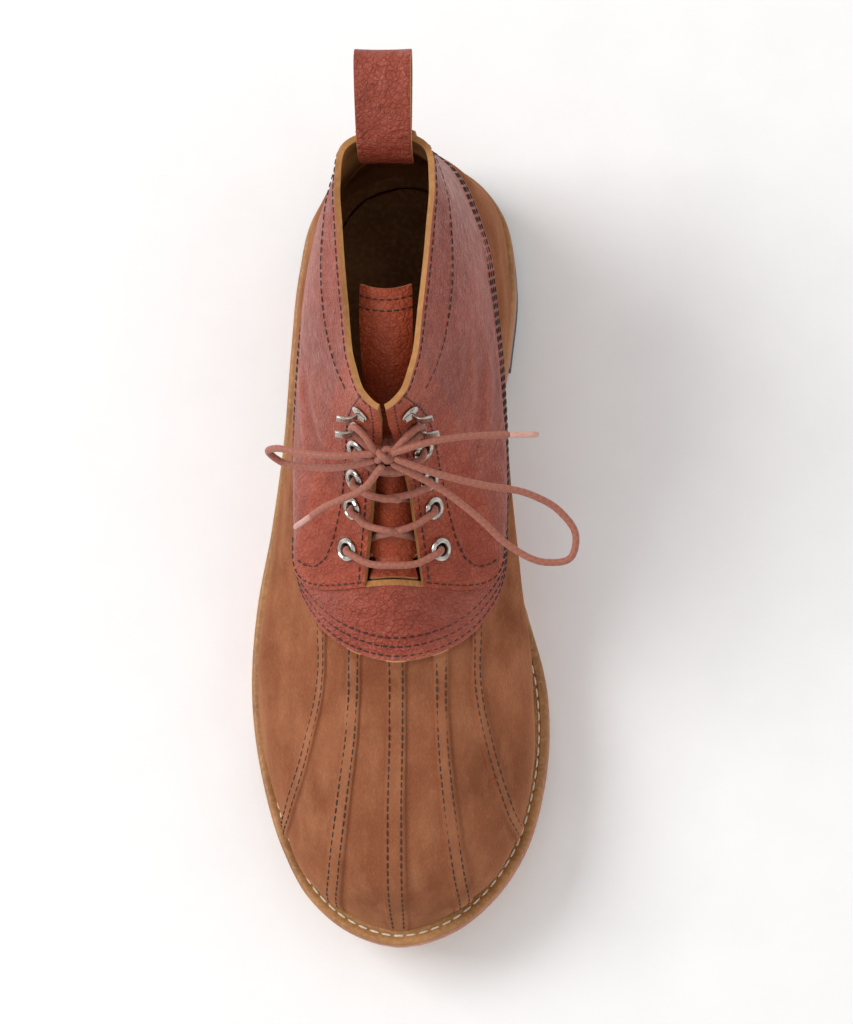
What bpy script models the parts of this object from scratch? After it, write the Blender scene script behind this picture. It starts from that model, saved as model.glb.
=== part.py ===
"""Right duck boot: suede vamp under a grain leather shaft, laced over a welted leather sole.

Metres, +Z up. The toe points along -Y, the inner (medial) side is +X. The origin is on the
floor under the middle of the heel.
"""
import math

import bmesh
import bpy
import numpy as np
from mathutils import Matrix, Vector

MM = 0.001

# Driving sizes
SOLE_LENGTH = 300 * MM
BALL_WIDTH = 100 * MM
COLLAR_HEIGHT = 150 * MM
HEEL_LENGTH = 78 * MM
HEEL_MIDDLE = 38 * MM
WELT_EXTENSION = 6 * MM
WELT_INSIDE = 6 * MM
TOE_SPRING = 22 * MM
GAP = 0.3 * MM
SEAT_GAP = 0.4 * MM

# Sole thicknesses
HALF_SOLE_THICKNESS = 3 * MM
OUTSOLE_THICKNESS = 5 * MM
WELT_THICKNESS = 4 * MM
INSOLE_MARGIN = 0.5 * MM
INSOLE_THICKNESS = 3.5 * MM
RUBBER_THICKNESS = 8.1 * MM
STACK_THICKNESS = 12.3 * MM
INLAY_LENGTH = 37 * MM
INLAY_HEIGHT = 5.3 * MM
INLAY_WIDTH = 20 * MM
HALF_SOLE_END = 150 * MM
HALF_SOLE_ROUND = 18 * MM
HALF_SOLE_MARGIN = 1.2 * MM
LIFT_MARGIN = 0.6 * MM

# Upper
WALL = 2.2 * MM
OVERLAY_STEP = 1.4 * MM
FACING_STEP = 1.0 * MM
RIB_HEIGHT = 1.0 * MM
THROAT_WIDTH = 21 * MM
STRAP_THICKNESS = 1.5 * MM
STRAP_WIDTH = 20 * MM

# Tongue
TONGUE_THICKNESS = 2.0 * MM
TONGUE_WIDTH = 40 * MM

# Pull loop
LOOP_WIDTH = 20 * MM
LOOP_THICKNESS = 2.0 * MM

# Eyelets, hooks and lace
EYELET_HOLE = 2.3 * MM
EYELET_BARREL = 2.9 * MM
EYELET_FLANGE = 4.5 * MM
EYELET_RISE = 1.2 * MM
EYELET_INSET = 9 * MM
HOOK_BASE = 3.6 * MM
HOOK_RISE = 6.5 * MM
HOOK_WIDTH = 4.6 * MM
HOOK_SHEET = 1.0 * MM
LACE_DIAMETER = 3.0 * MM
KNOT_RADIUS = 4.6 * MM

# Sole outline from toe to heel: shares of the length, half widths as shares of the ball width
OUTLINE = [
    # along, lateral, medial
    (0.000, 0.000, 0.000),
    (0.020, 0.200, 0.205),
    (0.060, 0.340, 0.348),
    (0.120, 0.442, 0.462),
    (0.200, 0.522, 0.526),
    (0.330, 0.583, 0.532),
    (0.430, 0.569, 0.453),
    (0.530, 0.518, 0.365),
    (0.640, 0.468, 0.345),
    (0.750, 0.441, 0.390),
    (0.850, 0.412, 0.409),
    (0.920, 0.365, 0.369),
    (0.970, 0.262, 0.255),
    (1.000, 0.000, 0.000),
]

# How far the leather sole is lifted: shares of the toe spring and of the heel's height
SPRING = [
    # along, toe, heel
    (0.00, 1.000, 0.00),
    (0.05, 0.885, 0.00),
    (0.10, 0.740, 0.00),
    (0.17, 0.500, 0.00),
    (0.23, 0.290, 0.00),
    (0.30, 0.110, 0.00),
    (0.37, 0.000, 0.00),
    (0.51, 0.000, 0.00),
    (0.55, 0.000, 0.13),
    (0.60, 0.000, 0.38),
    (0.67, 0.000, 0.67),
    (0.74, 0.000, 0.88),
    (0.81, 0.000, 1.00),
    (1.00, 0.000, 1.00),
]

# Where each level is measured between its front and its back
STATIONS = (0.045, 0.14, 0.30, 0.48, 0.66, 0.82, 0.95)

# Levels of the upper from welt to collar. front and back: share of the length. rise: share of
# the height from the welt to the collar. lateral and medial: half widths as shares of the ball
# width at each station. gap: half of the throat's opening as a share of its width.
LEVELS = [
    # name, front, front rise, back, back rise, lateral, medial, rise, gap
    ("feather", None, None, None, None, None, None, None, 0.5),
    ("bulge", 0.033, 0.074, 0.990, 0.096,
     (0.325, 0.450, 0.545, 0.500, 0.425, 0.390, 0.295),
     (0.335, 0.462, 0.485, 0.380, 0.350, 0.395, 0.305),
     (0.063, 0.058, 0.065, 0.065, 0.062, 0.067, 0.084), 0.5),
    ("toe_wall", 0.060, 0.198, 0.990, 0.171,
     (0.290, 0.438, 0.530, 0.485, 0.418, 0.386, 0.275),
     (0.300, 0.445, 0.485, 0.395, 0.365, 0.386, 0.285),
     (0.178, 0.142, 0.132, 0.121, 0.106, 0.124, 0.154), 0.5),
    ("toe_top", 0.137, 0.299, 0.989, 0.229,
     (0.220, 0.370, 0.468, 0.450, 0.403, 0.370, 0.260),
     (0.220, 0.375, 0.455, 0.405, 0.373, 0.370, 0.265),
     (0.287, 0.221, 0.183, 0.161, 0.148, 0.181, 0.216), 0.5),
    ("vamp", 0.243, 0.320, 0.988, 0.274,
     (0.175, 0.315, 0.420, 0.418, 0.380, 0.340, 0.235),
     (0.180, 0.320, 0.420, 0.398, 0.365, 0.340, 0.235),
     (0.312, 0.262, 0.214, 0.183, 0.184, 0.226, 0.264), 0.5),
    ("overlay", 0.340, 0.375, 0.985, 0.312,
     (0.225, 0.351, 0.385, 0.390, 0.363, 0.308, 0.190),
     (0.235, 0.358, 0.385, 0.380, 0.353, 0.308, 0.190),
     (0.324, 0.270, 0.241, 0.211, 0.227, 0.266, 0.303), 0.5),
    ("lobe", 0.428, 0.496, 0.978, 0.411,
     (0.360, 0.376, 0.380, 0.363, 0.330, 0.270, 0.160),
     (0.360, 0.378, 0.380, 0.360, 0.328, 0.270, 0.160),
     (0.326, 0.321, 0.301, 0.297, 0.325, 0.370, 0.403), 0.5),
    ("lower_throat", 0.524, 0.629, 0.960, 0.569,
     (0.155, 0.272, 0.345, 0.340, 0.310, 0.255, 0.145),
     (0.155, 0.272, 0.345, 0.340, 0.310, 0.255, 0.145),
     (0.540, 0.474, 0.440, 0.455, 0.489, 0.527, 0.561), 0.33),
    ("upper_throat", 0.578, 0.741, 0.945, 0.735,
     (0.115, 0.200, 0.282, 0.292, 0.270, 0.225, 0.135),
     (0.115, 0.200, 0.282, 0.292, 0.270, 0.225, 0.135),
     (0.700, 0.662, 0.646, 0.656, 0.678, 0.710, 0.731), 0.11),
    ("ankle", 0.598, 0.872, 0.936, 0.876,
     (0.080, 0.140, 0.205, 0.230, 0.225, 0.200, 0.140),
     (0.080, 0.140, 0.205, 0.230, 0.225, 0.200, 0.140),
     (0.864, 0.852, 0.845, 0.845, 0.856, 0.867, 0.876), 0.04),
    ("collar", 0.606, 1.000, 0.933, 0.996,
     (0.055, 0.090, 0.120, 0.140, 0.155, 0.165, 0.145),
     (0.055, 0.090, 0.120, 0.140, 0.155, 0.165, 0.145),
     (1.000, 1.000, 1.000, 1.000, 1.000, 1.000, 0.998), 0.04),
]
OVERLAY = 5
LOBE = 6
COLLAR = 10
STEP = 0.03

# Raised lap seams of the vamp: shares of the half girth from the middle line, at each edge
RIBS = [
    # outer edge at the toe, at the overlay, inner edge at the toe, at the overlay
    (0.083, 0.085, 0.066, 0.060),
    (0.190, 0.160, 0.175, 0.135),
]
CENTRE_RIB = (0.0095, 0.014)
RIB_SLOPE = 0.002
TOE_COLUMNS = ((0.022, 0.027), (0.036, 0.040))
PLAIN_COLUMNS = (0.102, 0.118, 0.225, 0.26, 0.30, 0.35, 0.40, 0.45, 0.51, 0.57,
                 0.63, 0.69, 0.75, 0.81, 0.87, 0.925, 0.97)
SLOT_COLUMN = 0.052
FACING_FADE = (0.20, 0.34)

# Eyelets and hooks on each side: levels up the throat
EYELET_LEVELS = (6.40, 6.82, 7.22, 7.78)
HOOK_LEVELS = (8.42, 9.05)

# Tongue under the facings: level, half width as a share of the tongue's, drop under the surface
TONGUE_NOSE = [
    # level, half width share, drop as a share of the wall
    (6.09, 0.225, -0.55),
    (6.17, 0.225, 0.55),
    (6.26, 0.215, 1.30),
    (6.30, 0.440, 1.36),
    (6.70, 0.440, 1.40),
    (7.20, 0.340, 1.45),
    (7.65, 0.240, 1.55),
]
# Its free end, which falls back inside the shaft: shares of the length, height and width
TONGUE_TOP = [
    # along, up, half width share
    (0.620, 0.805, 0.205),
    (0.660, 0.862, 0.225),
    (0.707, 0.905, 0.240),
    (0.752, 0.930, 0.235),
]

# Pull loop, seen from the side: steps back from the collar's rear edge and up from its top
LOOP_PATH = [
    # back, up
    (-7.4, -11.0),
    (-7.0, -3.0),
    (-3.6, 4.5),
    (5.5, 11.6),
    (15.0, 16.8),
    (22.5, 18.2),
    (26.0, 14.2),
    (22.0, 9.4),
    (13.0, 6.0),
    (5.0, 3.6),
    (-0.6, 1.55),
]

# Bow, in millimetres in the boot's frame: x, y, z
KNOT_PLACE = (-1.0, -93.5, 121.5)
LOOP_RIGHT = [
    (6, -96, 122), (16, -99.5, 120), (33, -103, 114.5), (51, -105.5, 107.5),
    (61, -110.5, 102.5), (67, -119, 99), (65, -127, 97), (56, -128.5, 97),
    (43, -123, 100.5), (33, -114.5, 106), (20, -105, 112), (5, -99, 117.5),
]
LOOP_LEFT = [
    (-7, -93.5, 124), (-18, -94, 122.5), (-31, -92, 117), (-41, -89, 110),
    (-44.5, -89, 102.5), (-40, -92, 98.5), (-32, -94, 102), (-15, -96.5, 114.5),
    (-6.5, -95.8, 119),
]
END_RIGHT = [
    (4, -93, 125.5), (14, -90.5, 128.5), (24, -88.5, 128.5), (32, -87.5, 127), (43, -86.5, 123),
]
END_LEFT = [
    (-3, -99.5, 116.5), (-9, -104, 112), (-17, -107, 107), (-24, -109, 101), (-29, -111, 94.5),
]
TIP_LENGTH = 12 * MM


def clear_scene():
    """Remove the objects that are in the scene."""
    for item in list(bpy.data.objects):
        bpy.data.objects.remove(item, do_unlink=True)


def material(name, colour, roughness, metallic=0.0):
    """Return a plain principled material."""
    made = bpy.data.materials.new(name)
    made.use_nodes = True
    shader = made.node_tree.nodes["Principled BSDF"]
    shader.inputs["Base Color"].default_value = (*colour, 1)
    shader.inputs["Roughness"].default_value = roughness
    shader.inputs["Metallic"].default_value = metallic
    made.diffuse_color = (*colour, 1)
    return made


def place_of(along):
    """Return Y for a distance from the toe's tip."""
    return along - (SOLE_LENGTH - HEEL_MIDDLE)


def along_of(y):
    """Return the distance from the toe's tip for Y."""
    return y + SOLE_LENGTH - HEEL_MIDDLE


def sole_bottom(along):
    """Height of the leather sole's underside."""
    return np.interp(along, SOLE_STATIONS, SOLE_HEIGHTS)


def welt_top(along):
    """Height of the welt's upper face."""
    return sole_bottom(along) + OUTSOLE_THICKNESS + WELT_THICKNESS


def smooth_curve(points, steps, closed=False):
    """Return a curve through points, with steps to each span, as chord-length Hermite spans."""
    pts = np.asarray(points, float)
    count = len(pts)
    spans = count if closed else count - 1
    ahead = np.roll(pts, -1, axis=0) - pts
    lengths = np.maximum(np.linalg.norm(ahead, axis=1), 1e-9)
    slopes = ahead / lengths[:, None]
    tangents = np.empty_like(pts)
    for i in range(count):
        before = (i - 1) % count
        weight = lengths[i] + lengths[before]
        tangents[i] = (slopes[i] * lengths[before] + slopes[before] * lengths[i]) / weight
    if not closed:
        tangents[0] = slopes[0]
        tangents[-1] = slopes[-2]
    out = []
    for i in range(spans):
        after = (i + 1) % count
        for step in range(steps):
            out.append(hermite(pts[i], pts[after], tangents[i], tangents[after],
                               lengths[i], step / steps))
    if not closed:
        out.append(pts[-1])
    return np.array(out)


def hermite(start, end, start_slope, end_slope, length, share):
    """Return a point on a cubic span."""
    cube, square = share ** 3, share ** 2
    return ((2 * cube - 3 * square + 1) * start + (cube - 2 * square + share) * length * start_slope
            + (3 * square - 2 * cube) * end + (cube - square) * length * end_slope)


def sole_profile(count):
    """Return the stations of the sole, closer at both ends, and its underside's height there."""
    curve = smooth_curve(SPRING, 10)
    shares = np.linspace(0, 1, count)
    shares = 0.55 * (0.5 - 0.5 * np.cos(math.pi * shares)) + 0.45 * shares
    toe = np.interp(shares, curve[:, 0], curve[:, 1])
    heel = np.interp(shares, curve[:, 0], curve[:, 2])
    heel_height = RUBBER_THICKNESS + STACK_THICKNESS - HALF_SOLE_THICKNESS
    return shares * SOLE_LENGTH, HALF_SOLE_THICKNESS + toe * TOE_SPRING + heel * heel_height


SOLE_STATIONS, SOLE_HEIGHTS = sole_profile(32)


def outline_halves(inset):
    """Return the dense outline, inset, as lateral and medial halves from toe to heel."""
    lateral = [(-row[1] * BALL_WIDTH, place_of(row[0] * SOLE_LENGTH)) for row in OUTLINE]
    medial = [(row[2] * BALL_WIDTH, place_of(row[0] * SOLE_LENGTH)) for row in OUTLINE[1:-1]]
    steps = 12
    loop = smooth_curve(lateral + medial[::-1], steps, closed=True)
    turn = np.roll(loop, -1, axis=0) - np.roll(loop, 1, axis=0)
    turn /= np.linalg.norm(turn, axis=1)[:, None]
    inward = np.stack([-turn[:, 1], turn[:, 0]], axis=1)
    middle = loop.mean(axis=0)
    if np.mean(np.sum(inward * (middle - loop), axis=1)) < 0:
        inward = -inward
    loop = loop + inward * inset
    half = (len(OUTLINE) - 1) * steps
    medial_half = np.concatenate([loop[:1], loop[half:][::-1]])
    return loop[:half + 1], medial_half


def by_length(curve, shares):
    """Return points on a dense curve at shares of its length."""
    lengths = np.concatenate([[0], np.cumsum(np.linalg.norm(np.diff(curve, axis=0), axis=1))])
    lengths /= lengths[-1]
    return np.stack([np.interp(shares, lengths, curve[:, i]) for i in range(curve.shape[1])], axis=1)


def level_halves(row):
    """Return one level of the upper as dense lateral and medial halves from front to back."""
    name, front, front_rise, back, back_rise, lateral, medial, rises, gap = row
    if front is None:
        halves = []
        for half in outline_halves(WELT_EXTENSION):
            heights = welt_top(along_of(half[:, 1])) + SEAT_GAP
            halves.append(np.column_stack([half, heights]))
        return halves

    def lifted(x, along, rise):
        base = welt_top(along)
        return (x, place_of(along), base + rise * (COLLAR_HEIGHT - base))

    start, end = front * SOLE_LENGTH, back * SOLE_LENGTH
    sides = []
    for sign, widths in ((-1, lateral), (1, medial)):
        sides.append([lifted(sign * width * BALL_WIDTH, start + share * (end - start), rise)
                      for share, width, rise in zip(STATIONS, widths, rises)])
    loop = [lifted(0, start, front_rise)] + sides[0] + [lifted(0, end, back_rise)] + sides[1][::-1]
    steps = 12
    dense = smooth_curve(loop, steps, closed=True)
    half = (len(STATIONS) + 1) * steps
    return dense[:half + 1], np.concatenate([dense[:1], dense[half:][::-1]])


LEVEL_CURVES = [level_halves(row) for row in LEVELS]


def surface(level, share):
    """Return a point of the upper's outer form.

    level counts up the rows of LEVELS, share runs from 0 at the middle front to 1 at the back,
    negative on the lateral side.
    """
    side = 0 if share < 0 else 1
    points = np.array([by_length(halves[side], [abs(share)])[0] for halves in LEVEL_CURVES])
    low = min(int(level), len(points) - 2)
    ahead = np.diff(points, axis=0)
    lengths = np.maximum(np.linalg.norm(ahead, axis=1), 1e-9)
    slopes = ahead / lengths[:, None]

    def tangent(i):
        if i == 0:
            return slopes[0]
        if i == len(points) - 1:
            return slopes[-1]
        weight = lengths[i] + lengths[i - 1]
        return (slopes[i] * lengths[i - 1] + slopes[i - 1] * lengths[i]) / weight

    return hermite(points[low], points[low + 1], tangent(low), tangent(low + 1),
                   lengths[low], level - low)


def surface_normal(level, share):
    """Return the outward normal of the upper's form."""
    step_level, step_share = 0.04, 0.006
    low, high = max(level - step_level, 0), min(level + step_level, COLLAR)
    up = surface(high, share) - surface(low, share)
    ahead_share, behind_share = share + step_share, share - step_share
    if ahead_share > 1:
        ahead_share -= 2
    if behind_share < -1:
        behind_share += 2
    across = surface(level, ahead_share) - surface(level, behind_share)
    normal = np.cross(across, up)
    if level < step_level or level > COLLAR - step_level:
        normal[2] = 0
    return normal / np.linalg.norm(normal)


def offset_point(level, share, distance):
    """Return a surface point moved out along its normal."""
    return surface(level, share) + surface_normal(level, share) * distance


def girth(level, side):
    """Length of one half of a level's loop."""
    low = min(int(level), COLLAR - 1)
    sizes = [np.linalg.norm(np.diff(LEVEL_CURVES[i][side], axis=0), axis=1).sum()
             for i in (low, low + 1)]
    return sizes[0] + (sizes[1] - sizes[0]) * (level - low)


def slot_share(level, side, extra=0.0):
    """Return the share of the half girth at the facing's edge, plus a distance past it."""
    half = np.interp(level, range(len(LEVELS)), [row[-1] for row in LEVELS]) * THROAT_WIDTH
    return (half + extra) / girth(level, side)


def mesh_object(name, vertices, faces, finish, smooth_angle=40):
    """Make an object from vertices and faces, facing out."""
    mesh = bpy.data.meshes.new(name)
    mesh.from_pydata([tuple(v) for v in vertices], [], faces)
    work = bmesh.new()
    work.from_mesh(mesh)
    bmesh.ops.remove_doubles(work, verts=work.verts, dist=0.005 * MM)
    bmesh.ops.recalc_face_normals(work, faces=work.faces)
    if work.calc_volume(signed=True) < 0:
        bmesh.ops.reverse_faces(work, faces=work.faces)
    work.to_mesh(mesh)
    work.free()
    mesh.materials.append(finish)
    mesh.shade_smooth()
    mesh.set_sharp_from_angle(angle=math.radians(smooth_angle))
    made = bpy.data.objects.new(name, mesh)
    bpy.context.scene.collection.objects.link(made)
    return made


def thicken(outer, inner, faces):
    """Close two matching sheets of points into one body: faces, their backs and the rim."""
    count = len(outer)
    edges = {}
    for face in faces:
        for i, start in enumerate(face):
            edges[(start, face[(i + 1) % len(face)])] = True
    rim = [(b, a, a + count, b + count) for a, b in edges if (b, a) not in edges]
    backs = [tuple(i + count for i in reversed(face)) for face in faces]
    return list(outer) + list(inner), list(faces) + backs + rim


def grid_faces(rows, columns, closed=False):
    """Return the quads of a grid of points, counted row by row."""
    spans = columns if closed else columns - 1
    return [(r * columns + c, r * columns + (c + 1) % columns,
             (r + 1) * columns + (c + 1) % columns, (r + 1) * columns + c)
            for r in range(rows - 1) for c in range(spans)]


def ladder_slab(name, left, right, low, high, finish):
    """Make a slab between two edges, whose underside and top follow the given heights."""
    vertices = []
    for a, b in zip(left, right):
        for point in (a, b):
            vertices.append((*point, low(along_of(point[1]))))
        for point in (b, a):
            vertices.append((*point, high(along_of(point[1]))))
    rows = len(left)
    faces = grid_faces(rows, 4, closed=True)
    faces += [(3, 2, 1, 0), tuple((rows - 1) * 4 + i for i in range(4))]
    return mesh_object(name, vertices, faces, finish)


def edge_pair(inset, start, end, extra=()):
    """Return matching lateral and medial edge points between two distances from the toe."""
    lateral, medial = outline_halves(inset)
    first = max(start, along_of(lateral[0][1]) + 0.15 * MM)
    last = min(end, along_of(lateral[-1][1]) - 0.15 * MM)
    inside = [s for s in SOLE_STATIONS if first + GAP < s < last - GAP]
    places = sorted([first] + inside + list(extra) + [last])
    sides = []
    for half in (lateral, medial):
        ys = [place_of(along) for along in places]
        sides.append([(np.interp(y, half[:, 1], half[:, 0]), y) for y in ys])
    return sides


def build_outsole(finish):
    """Leather sole, from toe to heel."""
    left, right = edge_pair(0, 0, SOLE_LENGTH)
    return ladder_slab("outsole", left, right, sole_bottom,
                       lambda along: sole_bottom(along) + OUTSOLE_THICKNESS, finish)


def build_welt(finish):
    """Leather rim that stands out round the upper."""
    base = OUTSOLE_THICKNESS + GAP
    left, right = edge_pair(0, 0, SOLE_LENGTH)
    rim = ladder_slab("welt", left, right, lambda along: sole_bottom(along) + base, welt_top, finish)
    left, right = edge_pair(WELT_EXTENSION + WELT_INSIDE, 0, SOLE_LENGTH)
    middle = ladder_slab("welt_cutter", left, right,
                         lambda along: sole_bottom(along) + base - WELT_THICKNESS,
                         lambda along: welt_top(along) + WELT_THICKNESS, finish)
    cut(rim, middle)


def build_insole(finish):
    """Board that the foot stands on, inside the welt."""
    left, right = edge_pair(WELT_EXTENSION + WELT_INSIDE + INSOLE_MARGIN, 0, SOLE_LENGTH)
    base = OUTSOLE_THICKNESS + GAP
    return ladder_slab("insole", left, right, lambda along: sole_bottom(along) + base,
                       lambda along: sole_bottom(along) + base + INSOLE_THICKNESS, finish)


def build_half_sole(finish):
    """Rubber half sole with a round rear edge."""
    rear_steps = [HALF_SOLE_END - HALF_SOLE_ROUND * share for share in (0.03, 0.1, 0.25, 0.45)]
    left, right = edge_pair(HALF_SOLE_MARGIN, 0, HALF_SOLE_END - 0.2 * MM, rear_steps)
    rear = place_of(HALF_SOLE_END)

    def rounded(point):
        into = max(0.0, 1 - (rear - point[1]) / HALF_SOLE_ROUND)
        return (point[0] * (1 - into ** 3) ** (1 / 3), point[1])

    left, right = [rounded(p) for p in left], [rounded(p) for p in right]
    return ladder_slab("half_sole", left, right,
                       lambda along: sole_bottom(along) - HALF_SOLE_THICKNESS,
                       lambda along: sole_bottom(along) - GAP, finish)


def build_heel(stack_finish, rubber_finish, inlay_finish):
    """Leather stack, black top lift and the leather block let into its outer front corner."""
    breast = SOLE_LENGTH - HEEL_LENGTH
    left, right = edge_pair(LIFT_MARGIN, breast, SOLE_LENGTH)
    ladder_slab("heel_stack", left, right, lambda along: RUBBER_THICKNESS + GAP,
                lambda along: sole_bottom(along) - GAP, stack_finish)
    rubber = ladder_slab("heel_rubber", left, right, lambda along: 0.0,
                         lambda along: RUBBER_THICKNESS, rubber_finish)
    block_left, far = edge_pair(LIFT_MARGIN, breast, breast + INLAY_LENGTH)
    block_right = [(x + INLAY_WIDTH, y) for x, y in block_left]
    ladder_slab("heel_inlay", block_left, block_right, lambda along: 0.0,
                lambda along: INLAY_HEIGHT, inlay_finish)
    reach = WELT_EXTENSION
    pocket_left = [(block_left[0][0] - reach, block_left[0][1] - reach)]
    pocket_left += [(x - reach, y) for x, y in block_left[1:]]
    pocket_left.append((pocket_left[-1][0], block_left[-1][1] + GAP))
    pocket_right = [(x + INLAY_WIDTH + GAP, y) for x, y in block_left]
    pocket_right[0] = (pocket_right[0][0], block_left[0][1] - reach)
    pocket_right.append((pocket_right[-1][0], block_left[-1][1] + GAP))
    pocket = ladder_slab("heel_pocket_cutter", pocket_left, pocket_right,
                         lambda along: -reach, lambda along: INLAY_HEIGHT + GAP, inlay_finish)
    cut(rubber, pocket)


def cut(target, cutter):
    """Cut one object out of another and hide the cutter."""
    cutter.hide_render = True
    cutter.display_type = "WIRE"
    step = target.modifiers.new("cut", "BOOLEAN")
    step.operation = "DIFFERENCE"
    step.object = cutter


def upper_columns():
    """Return the columns of one half: share at the toe, share at the overlay, rib height."""
    columns = [(CENTRE_RIB[0], CENTRE_RIB[1], 1.0)]
    columns.append((CENTRE_RIB[0] + RIB_SLOPE, CENTRE_RIB[1] + RIB_SLOPE, 0.0))
    columns.append((SLOT_COLUMN, SLOT_COLUMN, 0.0))
    for outer_toe, outer_top, inner_toe, inner_top in RIBS:
        columns.append((inner_toe, inner_top, 0.0))
        columns.append((inner_toe + RIB_SLOPE, inner_top + RIB_SLOPE, 1.0))
        columns.append((outer_toe, outer_top, 1.0))
        columns.append((outer_toe + RIB_SLOPE, outer_top + RIB_SLOPE, 0.0))
    columns += [(toe, top, 0.0) for toe, top in TOE_COLUMNS]
    columns += [(share, share, 0.0) for share in PLAIN_COLUMNS]
    return sorted(columns)


def upper_rows():
    """Return the rows of the upper's grid: level, whether grain, whether facing."""
    rows = [(0.0, 0, 0), (0.5, 0, 0), (1.0, 0, 0), (1.5, 0, 0), (2.0, 0, 0), (2.5, 0, 0),
            (3.0, 0, 0), (3.5, 0, 0), (4.0, 0, 0), (4.5, 0, 0), (OVERLAY - STEP, 0, 0)]
    rows += [(OVERLAY, 1, 0), (5.5, 1, 0), (LOBE - STEP, 1, 0), (LOBE, 1, 1)]
    rows += [(6.35, 1, 1), (6.7, 1, 1), (7.0, 1, 1), (7.5, 1, 1), (8.0, 1, 1), (8.5, 1, 1),
             (9.0, 1, 1), (9.5, 1, 1), (10.0, 1, 1)]
    return rows


def column_share(level, side, toe_share, top_share):
    """Return a column's share at a level, past the slot's edge above the lobes."""
    share = np.interp(level, (0, OVERLAY), (toe_share, top_share))
    edge = slot_share(max(level, LOBE), side)
    if top_share <= SLOT_COLUMN:
        blend = np.interp(level, (OVERLAY - 1, LOBE), (0, 1))
        return share + (share / SLOT_COLUMN * edge - share) * blend
    blend = np.interp(level, (OVERLAY, LOBE), (0, 1))
    moved = edge + (1 - edge) * (share - SLOT_COLUMN) / (1 - SLOT_COLUMN)
    return share + (moved - share) * blend


def build_upper(finish):
    """One hollow leather shell, open at collar, throat and underneath."""
    half = upper_columns()
    signed = [(-1, *c) for c in reversed(half)] + [(1, 0.0, 0.0, 1.0)]
    signed += [(1, *c) for c in half] + [(1, 1.0, 1.0, 0.0)]
    middle = len(half)
    slot = next(i for i, c in enumerate(half) if c[1] == SLOT_COLUMN) + 1
    rows = upper_rows()
    outer, inner = [], []
    for level, grain, facing in rows:
        for sign, toe_share, top_share, rib in signed:
            share = column_share(level, 0 if sign < 0 else 1, toe_share, top_share)
            height = grain * OVERLAY_STEP
            if not grain:
                fade = np.interp(level, (0, 0.5), (0.3, 1))
                height += rib * RIB_HEIGHT * fade
            if facing:
                height += FACING_STEP * np.interp(share, FACING_FADE, (1, 0))
            signed_share = sign * max(share, 1e-6)
            outer.append(offset_point(level, signed_share, height))
            inner.append(offset_point(level, signed_share, -WALL))
    columns = len(signed)
    first_open = next(i for i, row in enumerate(rows) if row[2])
    faces = []
    for face in grid_faces(len(rows), columns, closed=True):
        row, column = divmod(face[0], columns)
        in_slot = middle - slot <= column < middle + slot
        if not (row >= first_open and in_slot):
            faces.append(face)
    vertices, faces = thicken(outer, inner, faces)
    used = sorted({i for face in faces for i in face})
    place = {old: new for new, old in enumerate(used)}
    return mesh_object("upper", [vertices[i] for i in used],
                       [tuple(place[i] for i in face) for face in faces], finish)


def build_tongue(finish):
    """Plate behind the lace: its nose rises in the slot, its top falls back in the shaft."""
    shares = np.linspace(-1, 1, 7)
    top, bottom = [], []
    for level, width, drop in TONGUE_NOSE:
        for share in shares:
            side = 0 if share < 0 else 1
            reach = share * width * TONGUE_WIDTH / girth(level, side)
            reach = reach if abs(reach) > 1e-6 else 1e-6
            top.append(offset_point(level, reach, -drop * WALL - GAP))
            bottom.append(offset_point(level, reach, -drop * WALL - GAP - TONGUE_THICKNESS))
    for along, up, width in TONGUE_TOP:
        for share in shares:
            x = share * width * TONGUE_WIDTH
            y = place_of(along * SOLE_LENGTH) + 2.0 * MM * share ** 2
            z = up * COLLAR_HEIGHT - 1.5 * MM * share ** 2
            top.append((x, y, z))
            bottom.append((x, y + 0.4 * TONGUE_THICKNESS, z - 0.9 * TONGUE_THICKNESS))
    rows = len(TONGUE_NOSE) + len(TONGUE_TOP)
    vertices, faces = thicken(top, bottom, grid_faces(rows, len(shares)))
    return mesh_object("tongue", vertices, faces, finish)


def build_back_strap(finish):
    """Strip over the back seam, from welt to collar."""
    outer, inner = [], []
    levels = np.concatenate([np.linspace(0.25, 4.9, 6), np.linspace(5.1, 9.95, 7)])
    shares = np.linspace(-1, 1, 5)
    for level in levels:
        base = GAP + OVERLAY_STEP * (level > OVERLAY - 0.15)
        for share in shares:
            side = 0 if share < 0 else 1
            sign = -1 if share < 0 else 1
            reach = 1 - abs(share) * 0.5 * STRAP_WIDTH / girth(level, side)
            outer.append(offset_point(level, sign * reach, base + STRAP_THICKNESS))
            inner.append(offset_point(level, sign * reach, base))
    vertices, faces = thicken(outer, inner, grid_faces(len(levels), len(shares)))
    return mesh_object("back_strap", vertices, faces, finish)


def build_pull_loop(finish):
    """Strap folded into a loop, from inside the collar back on to its top edge."""
    name, front, front_rise, back = LEVELS[COLLAR][:4]
    rear = place_of(back * SOLE_LENGTH)
    points = [(rear + y * MM, COLLAR_HEIGHT + z * MM) for y, z in LOOP_PATH]
    path = smooth_curve(points, 2)
    turn = np.gradient(path, axis=0)
    turn /= np.linalg.norm(turn, axis=1)[:, None]
    out = np.column_stack([turn[:, 1], -turn[:, 0]]) * LOOP_THICKNESS / 2
    sheets = []
    for sheet in (path + out, path - out):
        sheets.append([(x, y, z) for y, z in sheet for x in (-LOOP_WIDTH / 2, LOOP_WIDTH / 2)])
    vertices, faces = thicken(sheets[0], sheets[1], grid_faces(len(path), 2))
    return mesh_object("pull_loop", vertices, faces, finish)


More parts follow.
